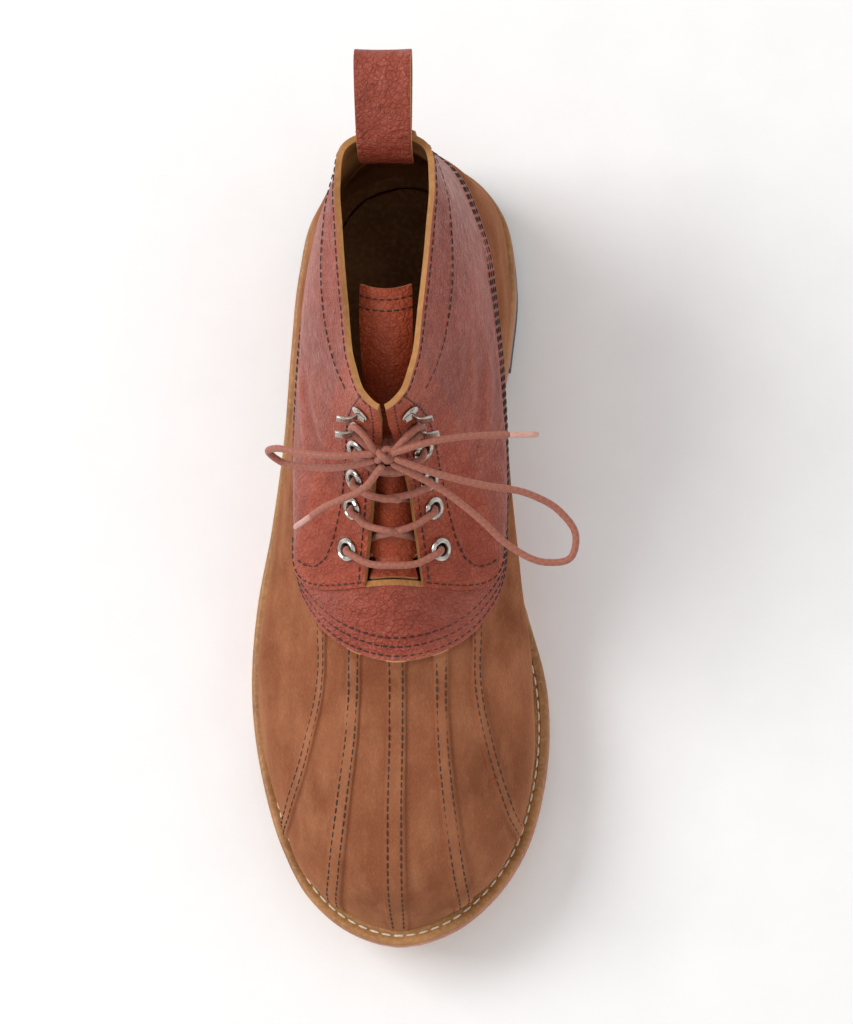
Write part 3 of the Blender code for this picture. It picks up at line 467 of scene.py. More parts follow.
class Workshop:
    """The hand tools: grids, slabs, lathe work, tubes, and joining."""

    @staticmethod
    def clear() -> None:
        """Leave nothing selected."""
        if bpy.context.object is not None and bpy.context.object.mode != "OBJECT":
            bpy.ops.object.mode_set(mode="OBJECT")
        bpy.ops.object.select_all(action="DESELECT")

    @staticmethod
    def pick(piece: bpy.types.Object) -> None:
        """Select one piece and make it active."""
        Workshop.clear()
        piece.select_set(True)
        bpy.context.view_layer.objects.active = piece

    @staticmethod
    def grid(name: str, points: np.ndarray) -> bpy.types.Object:
        """Lay a grid over a sheet of points.

        Args:
            name: Name of the piece.
            points: Rows by columns by three.

        Returns:
            The sheet, with a UV map that counts the rows and columns.
        """
        Workshop.clear()
        rows, columns = points.shape[:2]
        bpy.ops.mesh.primitive_grid_add(x_subdivisions=columns - 1, y_subdivisions=rows - 1, size=1)
        piece = bpy.context.object
        piece.name = name
        piece.data.name = name
        if len(piece.data.vertices) != rows * columns:
            raise ValueError(f"{name}: the grid has {len(piece.data.vertices)} points")
        piece.data.vertices.foreach_set("co", points.reshape(-1))
        piece.data.update()
        return piece

    @staticmethod
    def modify(piece: bpy.types.Object, kind: str, **settings: object) -> None:
        """Add a modifier with its settings and apply it."""
        Workshop.pick(piece)
        step = piece.modifiers.new(kind.lower(), kind)
        for name, value in settings.items():
            setattr(step, name, value)
        bpy.ops.object.modifier_apply(modifier=step.name)

    @staticmethod
    def close(piece: bpy.types.Object, merge: float = 0.005 * MM, fill: bool = False) -> None:
        """Merge doubles, fill open ends where asked, and turn the faces out."""
        work = bmesh.new()
        work.from_mesh(piece.data)
        bmesh.ops.remove_doubles(work, verts=work.verts, dist=merge)
        if fill:
            bmesh.ops.holes_fill(work, edges=work.edges)
        bmesh.ops.recalc_face_normals(work, faces=work.faces)
        if work.calc_volume(signed=True) < 0:
            bmesh.ops.reverse_faces(work, faces=work.faces)
        work.to_mesh(piece.data)
        work.free()

    @staticmethod
    def close_seam(piece: bpy.types.Object) -> None:
        """Merge the back seam, turning the faces out while the shell is still one sheet."""
        work = bmesh.new()
        work.from_mesh(piece.data)
        bmesh.ops.remove_doubles(work, verts=work.verts, dist=0.01 * MM)
        bmesh.ops.recalc_face_normals(work, faces=work.faces)
        middle = sum((f.calc_center_median() * f.calc_area() for f in work.faces), Vector())
        middle /= sum(f.calc_area() for f in work.faces)
        outward = sum((f.calc_center_median() - middle).dot(f.normal) * f.calc_area() for f in work.faces)
        if outward < 0:
            bmesh.ops.reverse_faces(work, faces=work.faces)
        work.to_mesh(piece.data)
        work.free()

    @staticmethod
    def round_edges(piece: bpy.types.Object, width: float) -> None:
        """Round every edge that turns by more than 50 degrees."""
        Workshop.modify(piece, "BEVEL", width=width, segments=2, limit_method="ANGLE",
                        angle_limit=math.radians(50))

    @staticmethod
    def thicken(piece: bpy.types.Object, thickness: float, offset: float = -1.0) -> None:
        """Give a leather sheet its thickness, with a raw rim and the flesh side behind."""
        Workshop.modify(piece, "SOLIDIFY", thickness=thickness, offset=offset, material_offset=2,
                        material_offset_rim=1)

    @staticmethod
    def dress(piece: bpy.types.Object, *finishes: bpy.types.Material) -> None:
        """Add materials in the order of the numbers that the faces carry."""
        for finish in finishes:
            piece.data.materials.append(finish)

    @staticmethod
    def hang(name: str, data: bpy.types.ID) -> bpy.types.Object:
        """Add an object with its data to the scene."""
        made = bpy.data.objects.new(name, data)
        bpy.context.scene.collection.objects.link(made)
        return made

    @staticmethod
    def soften(piece: bpy.types.Object, angle: float = 38) -> None:
        """Shade smooth below an angle in degrees."""
        Workshop.pick(piece)
        bpy.ops.object.shade_smooth_by_angle(angle=math.radians(angle))

    @staticmethod
    def slab(name: str, left: np.ndarray, right: np.ndarray, low: Callable, high: Callable,
             along_of: Callable, bevel: float) -> bpy.types.Object:
        """Make a slab between two edges.

        Args:
            name: Name of the piece.
            left: Edge points in plan.
            right: The edge across.
            low: Height of the underside for a distance from the toe.
            high: Height of the top.
            along_of: Turns Y to a distance from the toe.
            bevel: Width of the rounded edge.

        Returns:
            The slab.
        """
        count = len(left)
        ring = np.empty((count, 5, 3))
        for column, (edge, height) in enumerate(((left, low), (right, low), (right, high), (left, high))):
            ring[:, column, :2] = edge
            ring[:, column, 2] = height(along_of(edge[:, 1]))
        ring[:, 4] = ring[:, 0]
        piece = Workshop.grid(name, ring)
        Workshop.close(piece, merge=0.002 * MM, fill=True)
        if bevel:
            Workshop.round_edges(piece, bevel)
        Workshop.soften(piece)
        return piece

    @staticmethod
    def lathe(name: str, profile: Sequence[tuple[float, float]], steps: int = 28) -> bpy.types.Object:
        """Spin a profile of radius and height round Z."""
        Workshop.clear()
        mesh = bpy.data.meshes.new(name)
        edges = [(i, i + 1) for i in range(len(profile) - 1)]
        mesh.from_pydata([(radius, 0, height) for radius, height in profile], edges, [])
        piece = Workshop.hang(name, mesh)
        Workshop.pick(piece)
        bpy.ops.object.mode_set(mode="EDIT")
        bpy.ops.mesh.select_all(action="SELECT")
        bpy.ops.mesh.spin(steps=steps, angle=2 * math.pi, center=(0, 0, 0), axis=(0, 0, 1))
        bpy.ops.mesh.select_all(action="SELECT")
        bpy.ops.mesh.remove_doubles(threshold=0.004 * MM)
        bpy.ops.mesh.normals_make_consistent(inside=False)
        bpy.ops.object.mode_set(mode="OBJECT")
        Workshop.soften(piece, 45)
        return piece

    @staticmethod
    def place(piece: bpy.types.Object, seat: Matrix) -> None:
        """Put a place into a mesh and leave its object at the origin."""
        piece.data.transform(seat)
        piece.matrix_world = Matrix.Identity(4)

    @staticmethod
    def copy(piece: bpy.types.Object, name: str) -> bpy.types.Object:
        """Copy a piece with its own mesh."""
        return Workshop.hang(name, piece.data.copy())

    @staticmethod
    def join(name: str, pieces: Sequence[bpy.types.Object]) -> bpy.types.Object:
        """Join pieces into one."""
        Workshop.clear()
        for piece in pieces:
            piece.select_set(True)
        bpy.context.view_layer.objects.active = pieces[0]
        bpy.ops.object.join()
        pieces[0].name = name
        pieces[0].data.name = name
        return pieces[0]

    @staticmethod
    def resample(path: np.ndarray, spacing: float) -> np.ndarray:
        """Return points at an even spacing along a path."""
        steps = np.linalg.norm(np.diff(path[:, :3], axis=0), axis=1)
        lengths = np.concatenate([[0], np.cumsum(steps)])
        count = max(2, int(round(lengths[-1] / spacing)) + 1)
        places = np.linspace(0, lengths[-1], count)
        return np.stack([np.interp(places, lengths, path[:, i]) for i in range(path.shape[1])], axis=1)

    @staticmethod
    def tube(name: str, path: np.ndarray, diameter: float, sides: int = 12) -> bpy.types.Object:
        """Make a round cord along a path, with domed ends and a UV map in millimetres.

        Args:
            name: Name of the piece.
            path: Points of the centreline.
            diameter: The cord's diameter.
            sides: Faces round it.

        Returns:
            The closed tube.
        """
        turns = np.gradient(path, axis=0)
        turns /= np.linalg.norm(turns, axis=1)[:, None]
        normal = np.cross(turns[0], (0.3, 0.2, 0.93))
        normal /= np.linalg.norm(normal)
        ends = [(-0.46, 0.45), (-0.3, 0.8)]
        rings = []
        frames = []
        for turn in turns:
            normal = normal - turn * np.dot(normal, turn)
            normal /= np.linalg.norm(normal)
            frames.append((normal.copy(), np.cross(turn, normal)))
        order = [(0, back, size) for back, size in ends]
        order += [(i, 0.0, 1.0) for i in range(len(path))]
        order += [(len(path) - 1, -back, size) for back, size in reversed(ends)]
        angles = np.linspace(0, 2 * math.pi, sides + 1)
        for i, back, size in order:
            first, second = frames[i]
            circle = np.outer(np.cos(angles), first) + np.outer(np.sin(angles), second)
            rings.append(path[i] + turns[i] * back * diameter + circle * diameter / 2 * size)
        piece = Workshop.grid(name, np.array(rings))
        lengths = np.concatenate([[0], np.cumsum(np.linalg.norm(np.diff(path, axis=0), axis=1))])
        along = np.array([lengths[i] + back * diameter for i, back, size in order]) / MM
        uv = piece.data.uv_layers[0].data
        indices = np.empty(len(piece.data.loops), int)
        piece.data.loops.foreach_get("vertex_index", indices)
        rows, columns = np.divmod(indices, sides + 1)
        values = np.stack([columns / sides, along[rows]], axis=1).astype(np.float32)
        uv.foreach_set("uv", values.ravel())
        Workshop.close(piece, fill=True)
        Workshop.soften(piece, 70)
        return piece


# Finishes


def linear(code: str) -> tuple[float, float, float, float]:
    """Turn an sRGB hex value to linear red, green, blue and alpha."""
    parts = [int(code[i:i + 2], 16) / 255 for i in (1, 3, 5)]
    turned = [c / 12.92 if c <= 0.04045 else ((c + 0.055) / 1.055) ** 2.4 for c in parts]
    return (turned[0], turned[1], turned[2], 1.0)


def node(tree: bpy.types.NodeTree, kind: str, links: dict | None = None,
         **settings: object) -> bpy.types.Node:
    """Add a node.

    Args:
        tree: The material's node tree.
        kind: The node's type.
        links: For each input, a socket to link or a value to set.
        settings: The node's own settings.

    Returns:
        The node.
    """
    made = tree.nodes.new(kind)
    for name, value in settings.items():
        setattr(made, name, value)
    for name, value in (links or {}).items():
        if isinstance(value, bpy.types.NodeSocket):
            tree.links.new(value, made.inputs[name])
        else:
            made.inputs[name].default_value = value
    return made


def blend(tree: bpy.types.NodeTree, factor: object, first: object, second: object,
          mode: str = "MIX") -> bpy.types.NodeSocket:
    """Mix two colours and return the result."""
    made = node(tree, "ShaderNodeMix", {0: factor, 6: first, 7: second}, data_type="RGBA",
                blend_type=mode)
    return made.outputs[2]


def spread(tree: bpy.types.NodeTree, value: bpy.types.NodeSocket, low: float, high: float,
           to_low: float = 0.0, to_high: float = 1.0) -> bpy.types.NodeSocket:
    """Map a range of a value on to another."""
    made = node(tree, "ShaderNodeMapRange", {"Value": value, "From Min": low, "From Max": high,
                                             "To Min": to_low, "To Max": to_high})
    return made.outputs["Result"]


@dataclass(frozen=True)
class Finish:
    """A finish: what the material is, and the sizes of its pattern in millimetres."""

    name: str
    base: str
    dark: str
    pale: str
    roughness: float

    def start(self) -> tuple[bpy.types.Material, bpy.types.NodeTree, bpy.types.Node,
                             bpy.types.NodeSocket]:
        """Begin a material.

        Returns:
            The material, its tree, its shader and the place in metres.
        """
        made = bpy.data.materials.new(self.name)
        made.use_nodes = True
        tree = made.node_tree
        shader = tree.nodes["Principled BSDF"]
        shader.inputs["Roughness"].default_value = self.roughness
        made.diffuse_color = linear(self.base)
        place = node(tree, "ShaderNodeTexCoord").outputs["Object"]
        return made, tree, shader, place

    def settle(self, shader: bpy.types.Node, values: dict[str, object]) -> None:
        """Set values that are the same all over on the shader's own sockets."""
        for name, value in values.items():
            shader.inputs[name].default_value = value

    def noise(self, tree: bpy.types.NodeTree, place: bpy.types.NodeSocket, size: float,
              detail: float = 3.0, rough: float = 0.5) -> bpy.types.NodeSocket:
        """Return noise whose lumps are a size in millimetres."""
        made = node(tree, "ShaderNodeTexNoise", {"Vector": place, "Scale": 1000 / size,
                                                 "Detail": detail, "Roughness": rough})
        return made.outputs["Fac"]

    def shade_and_pale_tone(self, tree: bpy.types.NodeTree) -> bpy.types.NodeSocket:
        """Return the piece's painted shade and paleness: below 0 painted shade in a groove or fold, above 0
        paler.
        """
        return node(tree, "ShaderNodeAttribute", attribute_name="shade_and_pale_tone").outputs["Fac"]

    def with_shade_and_pale(self, tree: bpy.types.NodeTree, colour: bpy.types.NodeSocket) -> bpy.types.NodeSocket:
        """Paint shade into the grooves and folds of a colour, and lighten its paler places."""
        shade_and_pale_tone = self.shade_and_pale_tone(tree)
        colour = blend(tree, spread(tree, shade_and_pale_tone, 0, -1), colour, linear(self.dark))
        return blend(tree, spread(tree, shade_and_pale_tone, 0, 1), colour, linear(self.pale))

    def bump(self, tree: bpy.types.NodeTree, shader: bpy.types.Node, height: bpy.types.NodeSocket,
             depth: float, before: bpy.types.NodeSocket | None = None) -> bpy.types.NodeSocket:
        """Raise the surface by a height of so many millimetres."""
        links = {"Height": height, "Distance": depth * MM, "Strength": 1.0}
        if before is not None:
            links["Normal"] = before
        made = node(tree, "ShaderNodeBump", links)
        tree.links.new(made.outputs["Normal"], shader.inputs["Normal"])
        return made.outputs["Normal"]


@dataclass(frozen=True)
class GrainLeather(Finish):
    """Oiled full-grain cowhide, tumbled: small pebbles with soft wrinkles, a satin wax shine."""

    pebble: float = 2.1
    depth: float = 0.34

    def make(self) -> bpy.types.Material:
        """Return the material."""
        made, tree, shader, place = self.start()
        warp = node(tree, "ShaderNodeTexNoise", {"Vector": place, "Scale": 260.0, "Detail": 2.0})
        small = node(tree, "ShaderNodeVectorMath", {0: warp.outputs["Color"], 1: (0.0016,) * 3},
                     operation="MULTIPLY")
        bent = node(tree, "ShaderNodeVectorMath", {0: place, 1: small.outputs[0]}, operation="ADD")
        cells = node(tree, "ShaderNodeTexVoronoi", {"Vector": bent.outputs[0],
                                                    "Scale": 1000 / self.pebble},
                     feature="DISTANCE_TO_EDGE").outputs["Distance"]
        pebbles = spread(tree, cells, 0.0, 0.22)
        patch = self.noise(tree, place, 34.0, 2.0)
        wrinkle = self.noise(tree, place, 5.0, 4.0, 0.6)
        fine = self.noise(tree, place, 0.9, 2.0)
        colour = blend(tree, spread(tree, patch, 0.30, 0.62, 0.35, 1), linear(self.dark),
                       linear(self.base))
        # painted highlight on the wrinkles' crests and painted shade in their hollows, where the wrinkle
        # bump rises and falls
        colour = blend(tree, spread(tree, wrinkle, 0.50, 0.80, 0, 0.38), colour, linear(self.pale))
        colour = blend(tree, spread(tree, wrinkle, 0.46, 0.30, 0, 0.45), colour, linear(self.dark))
        # painted shade in the creases between the pebbles
        colour = blend(tree, spread(tree, pebbles, 0.5, 0.0, 0, 0.60), colour, linear(self.dark))
        tree.links.new(self.with_shade_and_pale(tree, colour), shader.inputs["Base Color"])
        rough = spread(tree, wrinkle, 0.3, 0.7, self.roughness + 0.09, self.roughness - 0.07)
        tree.links.new(rough, shader.inputs["Roughness"])
        self.settle(shader, {"IOR": 1.48, "Specular IOR Level": 0.36, "Coat Weight": 0.04,
                             "Coat Roughness": 0.38})
        first = self.bump(tree, shader, wrinkle, self.depth * 6.0)
        second = self.bump(tree, shader, pebbles, self.depth * 0.7, first)
        self.bump(tree, shader, fine, 0.05, second)
        return made


@dataclass(frozen=True)
class Suede(Finish):
    """Split cowhide with a brushed nap: matt, with pale strokes where the nap lies over."""

    nap: float = 0.55

    def make(self) -> bpy.types.Material:
        """Return the material."""
        made, tree, shader, place = self.start()
        # real fibres are about 0.1 mm thick, drawn here at half a millimetre so that they show
        stretch = node(tree, "ShaderNodeMapping", {"Vector": place, "Scale": (1.0, 0.42, 1.0)})
        fibre = self.noise(tree, stretch.outputs[0], self.nap, 3.0, 0.62)
        patch = self.noise(tree, place, 30.0, 3.0, 0.55)
        stroke = self.noise(tree, stretch.outputs[0], 9.0, 3.0, 0.6)
        colour = blend(tree, spread(tree, patch, 0.32, 0.70), linear(self.dark), linear(self.base))
        colour = blend(tree, spread(tree, stroke, 0.44, 0.76, 0, 0.50), colour, linear(self.pale))
        colour = blend(tree, spread(tree, fibre, 0.62, 0.30, 0, 0.34), colour, linear(self.dark))
        colour = blend(tree, spread(tree, fibre, 0.52, 0.78, 0, 0.30), colour, linear(self.pale))
        tree.links.new(self.with_shade_and_pale(tree, colour), shader.inputs["Base Color"])
        self.settle(shader, {"IOR": 1.35, "Specular IOR Level": 0.15, "Sheen Weight": 0.35,
                             "Sheen Roughness": 0.45, "Sheen Tint": linear("#E0A878")})
        first = self.bump(tree, shader, fibre, 0.20)
        self.bump(tree, shader, stroke, 0.5, first)
        return made


@dataclass(frozen=True)
class CutLeather(Finish):
    """Veg-tanned leather: cut edges, welts and soles, burnished or raw, with fine fibres."""

    fibre: float = 0.7
    depth: float = 0.12
    layers: float = 0.0
    shine: float = 0.0

    def make(self) -> bpy.types.Material:
        """Return the material."""
        made, tree, shader, place = self.start()
        flat = node(tree, "ShaderNodeMapping", {"Vector": place, "Scale": (0.35, 0.35, 1.6)})
        fibre = self.noise(tree, flat.outputs[0], self.fibre, 4.0, 0.6)
        patch = self.noise(tree, place, 22.0, 3.0)
        colour = blend(tree, spread(tree, patch, 0.3, 0.7), linear(self.dark), linear(self.base))
        colour = blend(tree, spread(tree, fibre, 0.48, 0.75, 0, 0.5), colour, linear(self.pale))
        colour = blend(tree, spread(tree, fibre, 0.5, 0.25, 0, 0.4), colour, linear(self.dark))
        if self.layers:
            band = node(tree, "ShaderNodeTexWave", {"Vector": place, "Scale": 1000 / self.layers / 6.28,
                                                    "Distortion": 1.5, "Detail": 2.0},
                        bands_direction="Z").outputs["Fac"]
            colour = blend(tree, spread(tree, band, 0.0, 0.3, 0.55, 0), colour, linear(self.dark))
        tree.links.new(self.with_shade_and_pale(tree, colour), shader.inputs["Base Color"])
        rough = spread(tree, fibre, 0.3, 0.7, self.roughness + 0.07, self.roughness - 0.07)
        tree.links.new(rough, shader.inputs["Roughness"])
        self.settle(shader, {"IOR": 1.45, "Coat Weight": self.shine, "Coat Roughness": 0.3})
        self.bump(tree, shader, fibre, self.depth)
        return made


@dataclass(frozen=True)
class Rubber(Finish):
    """Moulded sole rubber: matt, with a fine pitted skin."""

    pit: float = 0.8

    def make(self) -> bpy.types.Material:
        """Return the material."""
        made, tree, shader, place = self.start()
        pits = self.noise(tree, place, self.pit, 3.0, 0.6)
        patch = self.noise(tree, place, 26.0, 2.0)
        colour = blend(tree, spread(tree, patch, 0.3, 0.7), linear(self.dark), linear(self.base))
        colour = blend(tree, spread(tree, pits, 0.55, 0.8, 0, 0.35), colour, linear(self.pale))
        tree.links.new(colour, shader.inputs["Base Color"])
        rough = spread(tree, patch, 0.3, 0.7, self.roughness - 0.06, self.roughness + 0.08)
        tree.links.new(rough, shader.inputs["Roughness"])
        self.settle(shader, {"IOR": 1.52})
        self.bump(tree, shader, pits, 0.08)
        return made


@dataclass(frozen=True)
class Nickel(Finish):
    """Nickel-plated brass, barrel polished: bright, with a faint haze of handling."""

    def make(self) -> bpy.types.Material:
        """Return the material."""
        made, tree, shader, place = self.start()
        haze = self.noise(tree, place, 2.5, 3.0)
        colour = blend(tree, spread(tree, haze, 0.35, 0.7), linear(self.dark), linear(self.base))
        tree.links.new(colour, shader.inputs["Base Color"])
        rough = spread(tree, haze, 0.3, 0.7, self.roughness - 0.05, self.roughness + 0.09)
        tree.links.new(rough, shader.inputs["Roughness"])
        self.settle(shader, {"Metallic": 1.0})
        self.bump(tree, shader, haze, 0.03)
        return made


@dataclass(frozen=True)
class BraidedCord(Finish):
    """Waxed cotton lace, braided round: small crossing strands, matt with a waxy touch."""

    strand: float = 1.3

    def make(self) -> bpy.types.Material:
        """Return the material."""
        made, tree, shader, place = self.start()
        uv = node(tree, "ShaderNodeUVMap").outputs["UV"]
        # four strands a side run round the cord, each crossing every 1.3 mm of length
        strands = []
        for turn in (1.0, -1.0):
            slanted = node(tree, "ShaderNodeMapping", {"Vector": uv, "Scale": (4.0 * turn, 0.77, 1.0)})
            halves = node(tree, "ShaderNodeSeparateXYZ", {0: slanted.outputs[0]})
            total = node(tree, "ShaderNodeMath", {0: halves.outputs[0], 1: halves.outputs[1]},
                         operation="ADD").outputs[0]
            wave = node(tree, "ShaderNodeMath", {0: total, 1: 1.0}, operation="PINGPONG").outputs[0]
            strands.append(wave)
        braid = node(tree, "ShaderNodeMath", {0: strands[0], 1: strands[1]}, operation="MULTIPLY")
        fuzz = self.noise(tree, place, 0.6, 3.0)
        # painted shade in the grooves between the strands, where the braid bump is low
        colour = blend(tree, spread(tree, braid.outputs[0], 0.0, 0.45, 0.35, 0.0), linear(self.base),
                       linear(self.dark))
        colour = blend(tree, spread(tree, fuzz, 0.5, 0.8, 0, 0.45), colour, linear(self.pale))
        tree.links.new(colour, shader.inputs["Base Color"])
        self.settle(shader, {"Sheen Weight": 0.15})
        first = self.bump(tree, shader, braid.outputs[0], 0.10)
        self.bump(tree, shader, fuzz, 0.05, first)
        return made


@dataclass(frozen=True)
class Thread(Finish):
    """Waxed linen thread: round, twisted, with a dull shine."""

    def make(self) -> bpy.types.Material:
        """Return the material."""
        made, tree, shader, place = self.start()
        ply = self.noise(tree, place, 0.5, 2.0)
        colour = blend(tree, spread(tree, ply, 0.35, 0.7), linear(self.dark), linear(self.base))
        tree.links.new(colour, shader.inputs["Base Color"])
        self.bump(tree, shader, ply, 0.06)
        return made


@dataclass
class Finishes:
    """Every finish of the boot, made once."""

    grain: bpy.types.Material = field(init=False)
    eyestay: bpy.types.Material = field(init=False)
    suede: bpy.types.Material = field(init=False)
    raw: bpy.types.Material = field(init=False)
    flesh: bpy.types.Material = field(init=False)
    tongue: bpy.types.Material = field(init=False)
    sole_edge: bpy.types.Material = field(init=False)
    welt: bpy.types.Material = field(init=False)
    waist: bpy.types.Material = field(init=False)
    stack: bpy.types.Material = field(init=False)
    board: bpy.types.Material = field(init=False)
    black: bpy.types.Material = field(init=False)
    tan: bpy.types.Material = field(init=False)
    nickel: bpy.types.Material = field(init=False)
    lace: bpy.types.Material = field(init=False)
    tip: bpy.types.Material = field(init=False)
    thread: bpy.types.Material = field(init=False)
    welt_thread: bpy.types.Material = field(init=False)

    def __post_init__(self) -> None:
        """Make the materials."""
        self.grain = GrainLeather("full_grain_leather", "#9E4632", "#78301F", "#C0705A", 0.43).make()
        self.eyestay = GrainLeather("eyestay_leather", "#A8472B", "#84311A", "#C87452", 0.45).make()
        self.tongue = GrainLeather("tongue_leather", "#A54626", "#7F2F16", "#C66E48", 0.47,
                                   depth=0.20).make()
        self.suede = Suede("brushed_suede", "#9A5F42", "#7C472F", "#B57D5A", 0.96).make()
        self.raw = CutLeather("raw_cut_edge", "#C48B58", "#9C6236", "#DDAE7E", 0.85).make()
        self.flesh = CutLeather("flesh_side", "#AE7743", "#8C5A30", "#C6935F", 0.92, 0.9, 0.2).make()
        self.sole_edge = CutLeather("burnished_sole_edge", "#B65F39", "#8C4224", "#CF8358", 0.42,
                                    shine=0.25).make()
        self.welt = CutLeather("welt_leather", "#B07C48", "#8A5B31", "#CC9C68", 0.55, shine=0.1).make()
        self.waist = CutLeather("natural_sole_leather", "#E0C8B4", "#C9AB92", "#EFDDCD", 0.6).make()
        self.stack = CutLeather("stacked_lifts", "#A97F58", "#80593A", "#C29C74", 0.5, shine=0.15).make()
        self.board = CutLeather("insole_leather", "#B98A5C", "#8F653E", "#CFA67B", 0.8).make()
        self.black = Rubber("black_top_lift_rubber", "#343434", "#262626", "#4C4C4C", 0.6).make()
        self.tan = Rubber("tan_half_sole_rubber", "#CFA07C", "#B98A66", "#DDB391", 0.62).make()
        self.nickel = Nickel("polished_nickel", "#CFCAC2", "#B4AEA6", "#E6E2DC", 0.20).make()
        self.lace = BraidedCord("waxed_braided_lace", "#A3604C", "#784234", "#BC8370", 0.66).make()
        self.tip = CutLeather("lace_tip_film", "#D9A79A", "#B98377", "#E8C1B6", 0.3, shine=0.5).make()
        self.thread = Thread("dark_waxed_thread", "#33201A", "#1E120E", "#4A332B", 0.55).make()
        self.welt_thread = Thread("natural_welt_thread", "#E4D8C4", "#C0AE94", "#F2EADC", 0.6).make()


def hand_over(piece: bpy.types.Object, slot: str, *nodes: str) -> None:
    """Let a piece ride on the boot, hide the plain solids that it stands for, and log them with its
    material slot's name.
    """
    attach(piece, "root")
    if nodes:
        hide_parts(*nodes)
    faces = len(piece.data.polygons)
    LOG.info("%s: %d faces, slot %s, stands for %s", piece.name, faces, slot, ", ".join(nodes) or "-")


# Sewing


@dataclass
class Seamstress:
    """Sews rows of stitches on the form and keeps them as one piece for each thread."""

    last: Last
    pitch: float = 3.0 * MM
    length: float = 2.3 * MM
    thickness: float = 0.62 * MM
    rows: list[tuple[np.ndarray, np.ndarray]] = field(default_factory=list)

    def along(self, levels: Sequence[float], shares: Sequence[float], height: float | np.ndarray) -> None:
        """Sew along a line of levels and shares, at a height over the form."""
        levels, shares = np.asarray(levels, float), np.asarray(shares, float)
        points = self.last.offset(levels, shares, height)
        self.rows.append((points, self.last.normals(levels, shares)))

    def free(self, points: np.ndarray, normals: np.ndarray) -> None:
        """Sew along points with normals of their own."""
        self.rows.append((points, normals))

    def sew(self, name: str, finish: bpy.types.Material) -> bpy.types.Object:
        """Make every stitch that was marked.

        Args:
            name: Name of the piece.
            finish: The thread.

        Returns:
            All the stitches as one piece.
        """
        Workshop.clear()
        bpy.ops.mesh.primitive_uv_sphere_add(segments=6, ring_count=5, radius=0.5)
        master = bpy.context.object
        shape = np.array([tuple(v.co) for v in master.data.vertices])
        faces = [tuple(p.vertices) for p in master.data.polygons]
        bpy.data.objects.remove(master, do_unlink=True)
        long_axis = np.sign(shape[:, 2]) * np.abs(2 * shape[:, 2]) ** 0.7 * 0.5
        vertices, polygons = [], []
        for points, normals in self.rows:
            spots = Workshop.resample(np.hstack([points, normals]), self.pitch)
            turns = np.gradient(spots[:, :3], axis=0)
            for spot, turn in zip(spots, turns):
                normal = spot[3:] / np.linalg.norm(spot[3:])
                turn = turn / np.linalg.norm(turn)
                across = np.cross(normal, turn)
                across /= np.linalg.norm(across)
                made = (np.outer(long_axis * self.length, turn)
                        + np.outer(shape[:, 0] * self.thickness, across)
                        + np.outer(shape[:, 1] * self.thickness * 0.8, np.cross(turn, across)))
                start = len(vertices)
                vertices.extend((made + spot[:3]).tolist())
                polygons.extend([tuple(i + start for i in face) for face in faces])
        mesh = bpy.data.meshes.new(name)
        mesh.from_pydata(vertices, [], polygons)
        mesh.materials.append(finish)
        piece = Workshop.hang(name, mesh)
        Workshop.close(piece, merge=0.001 * MM)
        Workshop.soften(piece, 80)
        return piece


# Sub-assemblies


